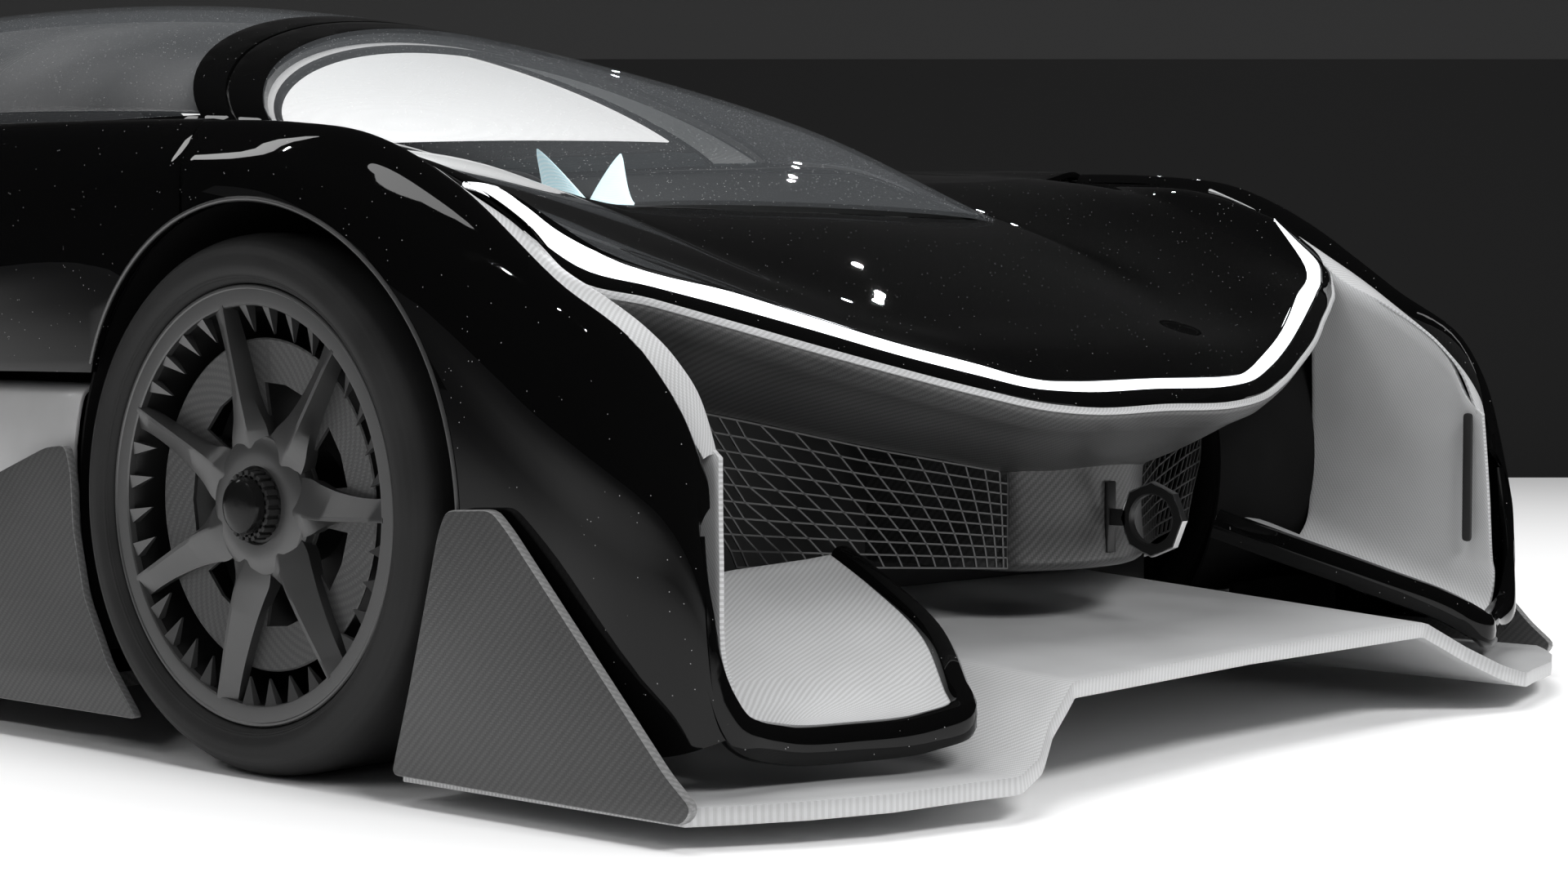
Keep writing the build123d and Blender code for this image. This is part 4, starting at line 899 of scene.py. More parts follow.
# %% Splitter
SECTION_X = [0, .418, .430, .497, .509, .556, .568, .605, .617, .70, .85, .981]
STEP_X = [0, .424, .503, .562, .611, .981]
LEAD_Z = np.interp(SECTION_X, STEP_X, [.129, .132, .094, .066, .053, .047])
TAIL_Z = np.interp(SECTION_X, STEP_X, [.182, .178, .136, .092, .060, .047])
NOSE_X = [0, .424, .503, .562, .611, .668, .780, .870, .940, .981]
NOSE_Y = [-.822, -.842, -.864, -.893, -.903, -.886, -.858, -.815, -.768, -.735]
TAIL_X, TAIL_Y = [0, .590, .700, .981], [-.252, -.252, -.285, -.285]
LEAD_AT, RUN = -.91, .66         # where the leading section stands, and how far behind it the rear one is
half = []
for x in np.unique(np.concatenate([SECTION_X, NOSE_X, np.linspace(0, .98, 40)])):
    lead_y, tail_y = np.interp(x, NOSE_X, NOSE_Y), np.interp(x, TAIL_X, TAIL_Y)
    low, high = np.interp(x, SECTION_X, LEAD_Z), np.interp(x, SECTION_X, TAIL_Z)
    stations = lead_y + (tail_y - lead_y) * np.linspace(0, 1, 24)
    half.append(behind([(x, y, low + (high - low) * (y - LEAD_AT) / RUN) for y in stations]))
splitter_grid = full_width(np.array(half))
panel("splitter_plank", splitter_grid, SILVER_TWILL, (0, 0, 1), .021, .003, slot="silver_carbon",
      nodes=["splitter"])
print("splitter", [round(v, 2) for v in np.ptp(splitter_grid.reshape(-1, 3), axis=0)])


# %% [markdown]
# Strakes and skirts are flat carbon boards that stand on edge. Each starts as an outline in the side view,
# with its corners rounded by a small arc. Its rim gets a lighter twill, a painted highlight along the edge.

# %% Strakes and side skirts
CORNER_STEPS, CORNER_SHARE = 4, .45      # points round a corner, and the most of an edge that it may take


def rounded(outline, radius):
    """Outline with each corner replaced by a short curve."""
    outline = np.asarray(outline, float)
    points = []
    for i, corner in enumerate(outline):
        before, after = outline[i - 1], outline[(i + 1) % len(outline)]
        start, end = (corner + unit(edge) * min(radius, np.linalg.norm(edge) * CORNER_SHARE)
                      for edge in (before - corner, after - corner))
        for t in np.linspace(0, 1, CORNER_STEPS):
            points.append(start * (1 - t) ** 2 + corner * 2 * t * (1 - t) + end * t * t)
    return points


EDGE_HIGHLIGHT_TWILL = twill("twill with painted edge highlight", grey(0.16), grey(0.34), 0.34, tow=0.003)


def board(name, outline, x, wall, side, material, radius=.012, **where):
    """Flat board in the side view, from x outwards by its wall, with a rounded edge."""
    mesh = bpy.data.meshes.new(name)
    with editing(mesh) as bm:
        face = bm.faces.new([bm.verts.new((side * x, y + FRONT_Y, z)) for y, z in rounded(outline, radius)])
        for item in bmesh.ops.extrude_face_region(bm, geom=[face])["geom"]:
            if isinstance(item, bmesh.types.BMVert):
                item.co.x += side * wall
        bmesh.ops.recalc_face_normals(bm, faces=bm.faces)
        weave = bm.loops.layers.uv.new("weave")
        for face in bm.faces:
            for loop in face.loops:
                loop[weave].uv = (loop.vert.co.y + loop.vert.co.x, loop.vert.co.z)
    obj = settle(soften(add_object(name, mesh), .003, 3), material, crease=25, **where)
    # the rim faces get the lighter twill: a painted edge highlight
    if material is GREY_TWILL:
        obj.data.materials.append(EDGE_HIGHLIGHT_TWILL)
        for face in obj.data.polygons:
            face.material_index = int(abs(face.normal.x) < .9)
    return obj


REAR = REAR_Y - FRONT_Y          # distance between the axles
STRAKE = [(-.280, .035), (-.312, .140), (-.340, .240), (-.362, .320), (-.376, .348), (-.452, .352),
          (-.478, .330), (-.720, .082), (-.760, .050), (-.745, .030)]
SKIRT = [(.230, .050), (.292, .116), (.341, .200), (.364, .290), (.368, .360), (.380, .398), (.424, .394),
         (.640, .320), (1.150, .170), (1.800, .130), (REAR - .440, .128), (REAR - .420, .050)]
# a satin black board on the inner wall stands for a slot: its black is painted shade inside the slot
SLOT_SHADE_OUTLINE = [(-.680, .215), (-.680, .415), (-.664, .415), (-.664, .215)]
for name, side in SIDES:
    board(f"strake_{name}", STRAKE, .981, .014, side, GREY_TWILL, slot="dark_carbon")
    skirt = board(f"skirt_{name}", SKIRT, .968, .012, side, GREY_TWILL, slot="dark_carbon")
    board(f"wall_slot_shade_{name}", SLOT_SHADE_OUTLINE, .862, .006, side, SATIN_BLACK, .007, slot="satin_black")
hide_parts("side_skirts")
print("boards done")


# %% [markdown]
# Between the black shoulder and the skirt runs the silver lower body. It is a plain drawn-in skin, so five
# lines along the car are enough.

# %% Silver lower body
# distance behind the front axle, and the half width at the top, waist and foot
SILL = ((.395, .950, .940, .905), (.80, .918, .908, .88), (1.2, .890, .880, .860), (1.8, .900, .890, .870),
        (REAR - .43, .955, .945, .915))
SILL_ROWS = [rib(d, (top - .09, .470), (top - .012, .468), (top, .430), (waist, .250), (foot, .082))
             for d, top, waist, foot in SILL]
for name, side in SIDES:
    panel(f"sill_{name}", skin(SILL_ROWS, 6, 5) * (side, 1, 1), SILVER_BODY, (side, 0, 0), .006, .002,
          slot="silver_body", nodes=[f"side_sill_{name}"])
print("sills done")


# %% [markdown]
# Behind the shut line, one skin runs from the glass over the shoulder and down the side. Its crest rises over
# the rear wheel and falls to the tail. Behind the bubble, both sides meet on the centre line.

# %% Rear body
# distance behind the front axle; belt half width and height; crest, flank and foot as (x, z)
REAR_BODY = [
    (.123, .478, .770, .944, .813, .986, .705, .984, .495),
    (.28, .516, .813, .942, .817, .980, .692, .972, .494),
    (.60, .556, .829, .934, .823, .970, .650, .952, .492),
    (1.0, .576, .832, .900, .827, .942, .620, .914, .485),
    (1.4, .572, .834, .882, .830, .930, .606, .902, .476),
    (1.8, .546, .838, .884, .838, .936, .605, .912, .465),
    (2.15, .504, .842, .918, .855, .972, .632, .962, .440),
    (REAR - .2, .420, .843, .944, .872, .992, .665, .988, .350),
    (REAR, .334, .845, .950, .876, .996, .680, .992, .300),
    (REAR + .2, .220, .842, .946, .870, .994, .672, .984, .292),
    (REAR + .42, .110, .836, .934, .860, .990, .660, .976, .290),
    (REAR + .62, .02, .826, .912, .838, .972, .648, .950, .290),
    (REAR + .80, 0, .806, .890, .815, .944, .640, .920, .290),
    (REAR + .945, 0, .785, .850, .790, .904, .620, .880, .320),
]
rows = []
for d, belt_x, belt_z, crest_x, crest_z, flank_x, flank_z, foot_x, foot_z in REAR_BODY:
    rows.append(rib(
        d, (belt_x, belt_z), (belt_x * .62 + crest_x * .38, belt_z * .62 + crest_z * .38 - .006),
        (belt_x * .22 + crest_x * .78, belt_z * .22 + crest_z * .78 - .004), (crest_x, crest_z),
        (crest_x * .25 + flank_x * .75, crest_z * .62 + flank_z * .38), (flank_x, flank_z),
        (flank_x * .55 + foot_x * .45 + .002, flank_z * .5 + foot_z * .5), (foot_x, foot_z),
    ))
BESIDE = 1.3                     # clear of the car's flank
shells = []
for name, side in SIDES:
    holes = [((side * BESIDE, y, z), radius, 1.4)
             for y, z, radius in ((FRONT_Y, FRONT_R, FRONT_ARCH), (REAR_Y, REAR_R, REAR_ARCH))]
    shell = arched(f"rear_body_{name}", rows, 6, side, (side, 0, 1), holes, [f"rear_quarter_{name}"])
    shells.append(shell)
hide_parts("rear_deck")
print("rear body", len(shell.data.polygons), "faces each")


# %% [markdown]
# A thin bead runs round the edge of every wheel arch, in the lighter wheel metal, as a painted highlight of
# the arch lip. Its path is found by casting rays at the panels from the side, just outside the arch.

# %% Arch beads
BEAD, BEAD_STEP = .0030, 3       # radius of the bead, and degrees between its sections
ARCHES = ("front", FRONT_Y, FRONT_R, FRONT_ARCH), ("rear", REAR_Y, REAR_R, REAR_ARCH)
FLANK_X = .85                    # no panel beside an arch lies further in


def arch_highlight_bead(hull, side, centre_y, centre_z, arch):
    rings = []
    for turn in np.radians(np.arange(-30, 211, BEAD_STEP)):
        out = Vector((0, math.cos(turn), math.sin(turn)))
        start = Vector((side * BESIDE, centre_y, centre_z)) + out * (arch + BEAD + .001)
        met = hull.ray_cast(start, Vector((-side, 0, 0)))[0]
        if met and abs(met.x) > FLANK_X:
            rings.append([met + (out * math.cos(a) + Vector((1, 0, 0)) * math.sin(a)) * BEAD
                          for a in circle(10)])
    return capped("bead", np.array(rings))


for (name, side), fender, shell in zip(SIDES, fenders, shells):
    corners, faces = [], []
    for mesh in (fender.data, shell.data):
        faces += [[len(corners) + i for i in face.vertices] for face in mesh.polygons]
        corners += [vert.co.copy() for vert in mesh.vertices]
    hull = BVHTree.FromPolygons(corners, faces)
    for end, *arch in ARCHES:
        bead = add_object(f"arch_highlight_bead_{end}_{name}", arch_highlight_bead(hull, side, *arch))
        # wheel metal, lighter than the black paint around it: a painted highlight
        settle(bead, WHEEL_METAL, slot="gloss_black", crease=60)
print("arch beads", len(bead.data.polygons), "faces each")


# %% [markdown]
# The windscreen, canopy and rear glass are parts of one bubble. Each of its sections is half an ellipse. The
# bubble is drawn once and then sliced by planes, so every band and pane keeps exactly the same curve.

# %% Bubble, sliced into panes and bands
# distance behind the front axle, half width at the belt, height of the belt, height of the crown
BUBBLE = [
    (-.095, .412, .716, .730), (.06, .462, .752, .815), (.28, .512, .812, .906), (.60, .552, .829, 1.000),
    (1.0, .572, .832, 1.078), (1.6, .560, .836, 1.122), (2.15, .500, .842, 1.105), (REAR, .330, .846, .985),
    (REAR + .35, .120, .838, .872), (REAR + .41, .060, .834, .840),
]
HOOP_FOOT = Vector((0, FRONT_Y + .490, .838))
RAKE = math.radians(37)
HOOP_NORMAL = Vector((0, -math.sin(RAKE), math.cos(RAKE)))     # points ahead of the hoop's plane


def bubble_grid(inset, start=0, across=56):
    """The bubble drawn in by inset, down to an angle above its left and right edges."""
    angles = np.linspace(start, math.pi - start, across)
    grid = []
    for d, half, belt, crown in through(BUBBLE, 10):
        rise = max(crown - belt - inset, .002)
        grid.append([((half - inset) * math.cos(a), FRONT_Y + d, belt + rise * math.sin(a)) for a in angles])
    return np.array(grid)


def slice_off(mesh, point, normal):
    """Remove what lies on the side of a plane that its normal points to."""
    with editing(mesh) as bm:
        geometry = bm.verts[:] + bm.edges[:] + bm.faces[:]
        bmesh.ops.bisect_plane(bm, geom=geometry, plane_co=point, plane_no=normal, clear_outer=True)


def slab(name, grid, planes):
    mesh = face_towards(mesh_from_grid(name, grid), (0, 0, 1))
    for point, normal in planes:
        slice_off(mesh, point, normal)
    return add_object(name, mesh)


AHEAD, BEHIND, UP = 1, -1, Vector((0, 0, 1))    # the side of a plane that is removed


def by_hoop(run, side):
    """Plane along the hoop, this far behind its foot."""
    return HOOP_FOOT + Vector((0, run, 0)), HOOP_NORMAL * side


def across(d, side):
    """Upright plane across the car, this far behind the front axle."""
    return Vector((0, FRONT_Y + d, 0)), Vector((0, -side, 0))


BAND_WIDTH, GAP, RAIL_TOP = .062, .006, Vector((0, 0, .864))
CANOPY_FROM, CANOPY_TO = by_hoop(2 * BAND_WIDTH + GAP, AHEAD), across(2.005, BEHIND)
GLASS = .007, 0, CLEAR_GLASS, "clear_glass"
FRAME = .022, .0015, BLACK_PAINT, "gloss_black"
PANES = (
    ("windscreen_glass", [by_hoop(0, BEHIND)], GLASS, "chassis", ["windscreen"]),
    ("hoop_band", [by_hoop(0, AHEAD), by_hoop(BAND_WIDTH, BEHIND)], FRAME, "chassis", ["windscreen_hoop"]),
    ("canopy_band", [by_hoop(BAND_WIDTH + GAP, AHEAD), by_hoop(2 * BAND_WIDTH + GAP, BEHIND)], FRAME,
     "canopy", ["canopy_frame"]),
    ("canopy_pane", [CANOPY_FROM, CANOPY_TO, (RAIL_TOP, -UP)], GLASS, "canopy", ["canopy_glass"]),
    ("canopy_rail", [CANOPY_FROM, CANOPY_TO, (RAIL_TOP, UP)], FRAME, "canopy", []),
    ("canopy_end", [across(2.005, AHEAD), across(2.05, BEHIND)], FRAME, "canopy", []),
    ("rear_band", [across(2.056, AHEAD), across(2.101, BEHIND)], FRAME, "chassis", ["rear_hoop"]),
    ("rear_pane", [across(2.101, AHEAD)], GLASS, "chassis", ["rear_glass"]),
)
for name, planes, (wall, radius, material, slot), body, nodes in PANES:
    pane = thicken(slab(name, bubble_grid(0), planes), wall, radius)
    settle(pane, material, body, slot, nodes, crease=45)
print(len(PANES), "slices of the bubble")


# %% [markdown]
# Inside the canopy is a pale lining with a grey back. It starts behind the hoop and comes down to the belt on
# both sides. Its pale side glows with painted light, which makes the cabin look so bright through the
# windscreen, and its grey back carries pale clouds of painted reflection. It hinges with the canopy. The hoop
# has a trim of its own, with a faint painted glow, and a black seal ahead of it.

# %% Linings
lining_planes = [by_hoop(2 * BAND_WIDTH + GAP + .03, AHEAD), across(1.97, BEHIND)]
trim_planes = [by_hoop(.013, AHEAD), by_hoop(2 * BAND_WIDTH, BEHIND)]
seal_planes = [by_hoop(.002, AHEAD), by_hoop(.011, BEHIND)]
LININGS = (
    ("canopy_lining", .034, .27, lining_planes, .004, PAINTED_GLOW_LINING, "canopy", "interior_fabric"),
    ("canopy_lining_back", .028, .25, lining_planes, .004, LINING_BACK, "canopy", "interior"),
    ("hoop_lining", .0235, .02, trim_planes, .005, PILLAR_TRIM, "chassis", "interior_fabric"),
    ("hoop_seal", .0225, .02, seal_planes, .011, SATIN_BLACK, "chassis", "interior"),
)
for name, inset, start, planes, wall, material, body, slot in LININGS:
    lining = thicken(slab(name, bubble_grid(inset, start, 60), planes), wall, .001)
    settle(lining, material, body, slot, crease=45)
print(len(LININGS), "linings")


# %% [markdown]
# Hundreds of identical parts stand round the four wheels. One tree copies any small mesh round a ring: it
# takes the number and the starting angle, and turns each copy to face outwards.

# %% Copies round a ring
def ring_tree():
    """Tree that stands copies round the Z axis: angle = index / count of a turn, and the start angle."""
    tree, inlet, outlet = tree_of("ring of copies", {"Count": 7, "Start angle": 0.0})
    points, index, copies = (tree.nodes.new(f"GeometryNode{kind}")
                             for kind in ("Points", "InputIndex", "InstanceOnPoints"))
    share, turn, spin = (tree.nodes.new("ShaderNodeMath") for _ in range(3))
    share.operation, turn.operation, spin.operation = "DIVIDE", "MULTIPLY", "ADD"
    turn.inputs[1].default_value = 2 * math.pi
    euler = tree.nodes.new("ShaderNodeCombineXYZ")
    for source, target in (
        (inlet.outputs["Count"], points.inputs["Count"]), (index.outputs[0], share.inputs[0]),
        (inlet.outputs["Count"], share.inputs[1]), (share.outputs[0], turn.inputs[0]),
        (turn.outputs[0], spin.inputs[0]), (inlet.outputs["Start angle"], spin.inputs[1]),
        (spin.outputs[0], euler.inputs["Z"]), (points.outputs[0], copies.inputs["Points"]),
        (inlet.outputs[0], copies.inputs["Instance"]), (euler.outputs[0], copies.inputs["Rotation"]),
    ):
        tree.links.new(source, target)
    return finish_tree(tree, copies.outputs[0], outlet, WHEEL_METAL)


RING_TREE = ring_tree()


def ring_of(name, mesh, count, start=0.0):
    """One mesh with count copies of a part round the Z axis."""
    obj = grow(add_object(name, mesh), RING_TREE, {"Count": count, "Start angle": start})
    result = obj.data
    bpy.data.objects.remove(obj)
    return result


def turned(name, profile, steps):
    """Ring turned on the Z axis from a closed profile of (radius, z), with its faces outwards."""
    rows = [[(r * math.cos(a), r * math.sin(a), z) for a in circle(steps)] for r, z in [*profile, profile[0]]]
    return weld(mesh_from_grid(name, np.array(rows), closed=True))


print("ring tools ready")


# %% [markdown]
# A wheel is drawn lying flat, with Z as its axle and its outer wall at z = 0. A spoke is a wedge with a wide
# root, a ridge that isn't in its middle, and flat facets. Seven of them make a pinwheel, which reads as
# turning even when the car stands still. Sharp teeth fill the rim between them.

# %% One spoke, one tooth, one castellation
SPOKES, TEETH, CASTELLATIONS = 7, 35, 22
# radius, left and right edges, ridge across, height of the edges, height of the ridge, depth of the spoke
SPOKE = [
    (.056, -.030, .030, -.004, -.0320, -.0285, .050), (.078, -.036, .037, -.006, -.0335, -.0250, .044),
    (.094, -.032, .036, -.008, -.0350, -.0215, .042), (.112, -.0235, .0300, -.0095, -.0355, -.0190, .038),
    (.140, -.0160, .0235, -.0095, -.0340, -.0170, .034), (.180, -.0125, .0185, -.0085, -.0310, -.0155, .030),
    (.222, -.0105, .0175, -.007, -.0270, -.0145, .026), (.2500, -.0100, .0200, -.0065, -.0240, -.0140, .024),
]


RIDGE_HALF, FOOT_SHARE = .0025, .9


def spoke_mesh():
    rings = []
    for radius, left, right, ridge, edge_z, ridge_z, depth in through(SPOKE, 3):
        foot_z = edge_z - depth * .5
        rings.append([(radius, y, z) for y, z in (
            (left * FOOT_SHARE, foot_z), (left, edge_z), (ridge - RIDGE_HALF, ridge_z),
            (ridge + RIDGE_HALF, ridge_z), (right, edge_z), (right * FOOT_SHARE, foot_z))])
    return capped("spoke", np.array(rings))


def prism(name, outline, low, high):
    """Closed prism over an outline in the wheel's plane. high is one height, or one for each corner."""
    heights = high if isinstance(high, tuple) else (high,) * len(outline)
    mesh = bpy.data.meshes.new(name)
    with editing(mesh) as bm:
        foot = [bm.verts.new((x, y, low)) for x, y in outline]
        top = [bm.verts.new((x, y, z)) for (x, y), z in zip(outline, heights)]
        for i, corner in enumerate(foot):
            j = (i + 1) % len(foot)
            bm.faces.new((corner, foot[j], top[j], top[i]))
        bm.faces.new(top)
        bm.faces.new(foot[::-1])
        bmesh.ops.recalc_face_normals(bm, faces=bm.faces)
    return mesh


spokes = ring_of("spokes", spoke_mesh(), SPOKES, -math.pi / 2)
tooth = prism("tooth", [(.2500, -.0165), (.2500, .0030), (.2130, -.0160)], -.0315, (-.0155, -.0200, -.0285))
teeth = ring_of("teeth", tooth, TEETH, -math.pi / 2 + .04)
castle = prism("castle", [(.034, -.0028), (.034, .0028), (.0435, .0034), (.0435, -.0034)], -.034, -.012)
castles = ring_of("castles", castle, CASTELLATIONS)
print("spokes", len(spokes.polygons), "teeth", len(teeth.polygons))


# %% [markdown]
# The turned parts are profiles: the barrel, the flat lip, the hub and brake disc, the collar that the spokes
# grow from, the nut, and a black cap that stands proud. The carbon cover behind the spokes has seven windows,
# which show the disc.

# %% Turned parts of the wheel
def rim_profile(width):
    return [
        (.2700, -.024), (.2480, -.024), (.2440, -.0340), (.2415, -.0500), (.2410, -width + .013),
        (.2700, -width + .013), (.2715, -width + .0145), (.2715, -width + .020), (.2500, -width + .020),
        (.2500, -.030), (.2700, -.030),
    ]


PROFILES = {
    "lip": [(.2715, -.0250), (.2715, -.0140), (.2700, -.0125), (.2675, -.0125), (.2660, -.0138),
            (.2520, -.0142), (.2475, -.0148), (.2460, -.0165), (.2460, -.0250)],
    "hub": [(.0283, -.150), (.075, -.150), (.075, -.138), (.190, -.138), (.190, -.110), (.075, -.110),
            (.066, -.072), (.066, -.050), (.060, -.040), (.046, -.036), (.043, -.034), (.030, -.034),
            (.0283, -.040)],
    "nut": [(.030, -.036), (.047, -.036), (.047, -.031), (.0400, -.029), (.0395, -.014), (.038, -.012),
            (.030, -.012)],
    "cap": [(.0005, -.034), (.0345, -.034), (.0360, -.016), (.0352, -.006), (.0325, -.0005), (.0280, .0022),
            (.0200, .0036), (.0100, .0043), (.0005, .0045)],
    "cover": [(.058, -.056), (.150, -.052), (.2040, -.0475), (.2062, -.0440), (.2040, -.0425),
              (.150, -.0470), (.058, -.051)],
    "collar": [(.0470, -.050), (.0470, -.0290), (.0490, -.0265), (.0620, -.0255), (.0780, -.0270),
               (.0860, -.0315), (.0900, -.0380), (.0900, -.050)],
}
STEPS = {"lip": 160, "cover": 168, "collar": 112}        # round each ring; the small ones have 96
rings = {name: turned(name, profile, STEPS.get(name, 96)) for name, profile in PROFILES.items()}
window = prism("window", [(.092, -.020), (.146, -.040), (.152, .000), (.146, .040), (.092, .020)], -.07, -.03)
windows = ring_of("windows", window, SPOKES, -math.pi / 2 + math.pi / SPOKES)
cover = add_object("cover", rings["cover"])
subtract(cover, add_object("windows", windows))
rings["cover"] = cover.data
bpy.data.objects.remove(cover)
print("cover", len(rings["cover"].polygons), "faces")


# %% [markdown]
# The tyre is a slick. Its side carries fine raised rings, which are real steps in the profile and not a
# pattern, because light grazes them. The wheel is then placed on each hub by one matrix.

# %% Tyres, and wheels on their hubs
RING_RISE, CROWN = .0009, .0006  # height of the side's rings, and how far the tread's middle stands proud


def tyre_profile(width, radius):
    outside = through([
        (.2715, -.020), (.2760, -.0095), (.2850, -.0030), (radius - .040, 0), (radius - .022, -.0042),
        (radius - .0105, -.0140), (radius - .0035, -.0280), (radius, -.0460), (radius + CROWN, -width / 2),
    ], 6)
    outside[:, 0] = np.minimum(outside[:, 0], radius + CROWN)
    for ring_r in (.2785, .2815, .2990, radius - .0270, radius - .0235, radius - .0175):
        near = np.argmin(abs(outside[:30, 0] - ring_r))
        outside[near, 1] = min(outside[near, 1] + RING_RISE, 0)
    inside = outside[-2::-1] * (1, -1) - (0, width)
    carcass = [(.250, -width + .020), (.250, -width + .034), (radius - .045, -width + .026),
               (radius - .013, -width + .055), (radius - .013, -.055), (radius - .045, -.026), (.250, -.034),
               (.250, -.020)]
    return [*map(tuple, outside), *map(tuple, inside), *carcass]


def on_hub(mesh, centre, side, outer):
    """Copy of a mesh drawn flat, turned onto its hub."""
    copy = mesh.copy()
    copy.transform(Matrix.Translation((side * outer, centre.y, centre.z)) @ Matrix.Rotation(
        side * math.pi / 2, 4, "Y"))
    return copy


WHEEL_PARTS = (
    ("spokes", spokes, WHEEL_METAL, "wheel_metal"), ("rim_lip", rings["lip"], WHEEL_METAL, "wheel_metal"),
    ("collar", rings["collar"], WHEEL_METAL, "wheel_metal"), ("teeth", teeth, WHEEL_METAL, "wheel_metal"),
    ("hub", rings["hub"], DARK_METAL, "wheel_metal"), ("cover", rings["cover"], GREY_TWILL, "dark_carbon"),
    ("nut", rings["nut"], SATIN_BLACK, "wheel_metal"), ("castles", castles, SATIN_BLACK, "wheel_metal"),
    ("cap", rings["cap"], GLOSS_BLACK, "gloss_black"),
)
for end in ("front", "rear"):
    low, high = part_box(f"tyre_{end}_left")
    width, radius, outer = high.x - low.x, (high.z - low.z) / 2, high.x
    barrel = turned("barrel", rim_profile(width), 128)
    slick = turned("slick", tyre_profile(width, radius), 160)
    for name, side in SIDES:
        body, tag = f"wheel_{end}_{name}", f"{end}_{name}"
        centre = middle(f"tyre_{tag}")
        for part, mesh, material, slot, *stands_for in (
            ("barrel", barrel, DARK_METAL, "wheel_metal", f"rim_{tag}"), *WHEEL_PARTS,
            ("slick", slick, TYRE_RUBBER, "tyre_rubber", f"tyre_{tag}"),
        ):
            piece = add_object(f"{part}_{tag}", on_hub(mesh, centre, side, outer))
            settle(piece, material, body, slot, stands_for, crease=40 if part == "slick" else 28)
    print(end, "wheels", round(width, 3), "wide,", round(radius, 3), "radius")


# %% [markdown]
# The tow hook is a flat ring with eight sides outside and a round eye, on a short tang and a bolted plate.
# Its edges are chamfered and machined bright, so it shows a clear outline.

# %% Tow hook
hook_low, hook_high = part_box("tow_hook")
EYE_BEHIND, TANG_BEHIND, TANG_HALF, PLATE_WALL, PLATE_HALF = .0462, .040, .011, .006, .048
eye = Vector((0, hook_low.y + EYE_BEHIND, (hook_low.z + hook_high.z) / 2))


def ring_plate(outside, bore, half, bevel):
    """Ring with eight sides outside and a round hole, half as thick as said each way, with bevelled edges."""
    rings = []
    eighth = math.pi / 8
    for a in circle(32):
        rim = outside * math.cos(eighth) / math.cos((a + eighth) % (2 * eighth) - eighth)
        side = half - bevel
        section = ((-side, rim), (side, rim), (half, rim - bevel), (half, bore + bevel), (side, bore),
                   (-side, bore), (-half, bore + bevel), (-half, rim - bevel))
        rings.append([(x, math.cos(a + eighth) * r, math.sin(a + eighth) * r) for x, r in section])
    rings.append(rings[0])
    return weld(mesh_from_grid("eye", np.array(rings) + eye, closed=True))


def block(low, high, chamfer):
    """Chamfered block between two corners."""
    low, high = Vector(low), Vector(high)
    mesh = bpy.data.meshes.new("block")
    with editing(mesh) as bm:
        bmesh.ops.create_cube(bm, size=1.0)
        for vert in bm.verts:
            vert.co = [low[k] + (high[k] - low[k]) * (vert.co[k] + .5) for k in range(3)]
        bmesh.ops.bevel(bm, geom=bm.edges[:], offset=chamfer, segments=2, affect="EDGES", profile=.5)
    return mesh


tang = block((-.006, eye.y + TANG_BEHIND, eye.z - TANG_HALF), (.006, hook_high.y, eye.z + TANG_HALF), .0015)
plate = block((-.010, hook_high.y - PLATE_WALL, eye.z - PLATE_HALF), (.010, hook_high.y, eye.z + PLATE_HALF),
              .002)
hook = join("tow_eye_ring", [ring_plate(.050, .033, .006, .002), tang, plate])
settle(hook, DARK_METAL, slot="hook_metal", nodes=["tow_hook"], crease=25)
hook_edge = add_object("tow_hook_edge", ring_plate(.0505, .0455, .0056, .0006))
settle(hook_edge, BRIGHT_METAL, slot="hook_metal", crease=25)
print("tow hook", len(hook.data.polygons), "faces")


# %% [markdown]
# A black blade hangs ahead of each front tyre and closes the way under the wheel housing, so no daylight
# shows through the duct behind the nose. It clears the tyre at full steer.

# %% Tyre deflectors
BLADE_LOW, BLADE_HIGH = (FRONT_Y - .403, .050), (FRONT_Y - .394, .150)
for name, side in SIDES:
    left, right = sorted((side * .62, side * .93))
    blade = block((left, *BLADE_LOW), (right, *BLADE_HIGH), .002)
    settle(add_object(f"tyre_deflector_{name}", blade), LINER_BLACK, slot="interior", crease=30)
print("deflectors from", left, "to", right)


# %% [markdown]
# The seat is one shell with three pads. A pad is a crowned cushion that pulls in between its corners and has
# sewn channels across it, so each starts as a rounded slab that is swollen by a rule.

# %% Seat
seat_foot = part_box("seat")[0].z
END_TUCK, SIDE_TUCK, SEAM_DEPTH, SEAM_WIDTH = .05, .04, .010, .07


def pad(name, width, length, depth, channels):
    """Crowned cushion lying flat, its head at +Y: sides drawn in between corners, with sewn channels."""
    across, along = 25, 49
    grid = []
    for i in range(along + 1):
        v = i / along * 2 - 1
        row = []
        for j in range(across + 1):
            u = j / across * 2 - 1
            corner = (1 - abs(u) ** 6) ** .5 * (1 - abs(v) ** 6) ** .5
            pull = 1 - END_TUCK * (1 - u * u) * abs(v) ** 4
            swell = depth * (.35 + .65 * (1 - u * u) ** .5 * (1 - v * v) ** .3)
            seam = SEAM_DEPTH * math.exp(-((v * channels * .5 % 1 - .5) / SEAM_WIDTH) ** 2) * corner
            row.append((u * width / 2 * (1 - SIDE_TUCK * (1 - v * v)), v * length / 2 * pull,
                        (swell - seam) * corner))
        grid.append(row)
    mesh = face_towards(mesh_from_grid(name, np.array(grid)), (0, 0, 1))
    return thicken(add_object(name, mesh), .012, 0)


def sloped(obj, start, stop):
    """Lay a flat pad along the line from start to stop in the side view."""
    (y0, z0), (y1, z1) = start, stop
    lean = math.atan2(z1 - z0, y1 - y0)
    place = Matrix.Translation((0, FRONT_Y + (y0 + y1) / 2, (z0 + z1) / 2))
    obj.data.transform(place @ Matrix.Rotation(lean, 4, "X"))
    return obj


# the seat's line in the side view: distance behind the front axle, and height
SEAT_LINE = [(.790, .330), (.90, .300), (1.24, .205), (1.36, .225), (1.46, .340), (1.78, .850), (1.83, .905)]
SEAT_HALF, NARROWING, BOLSTER = .262, .05, .085


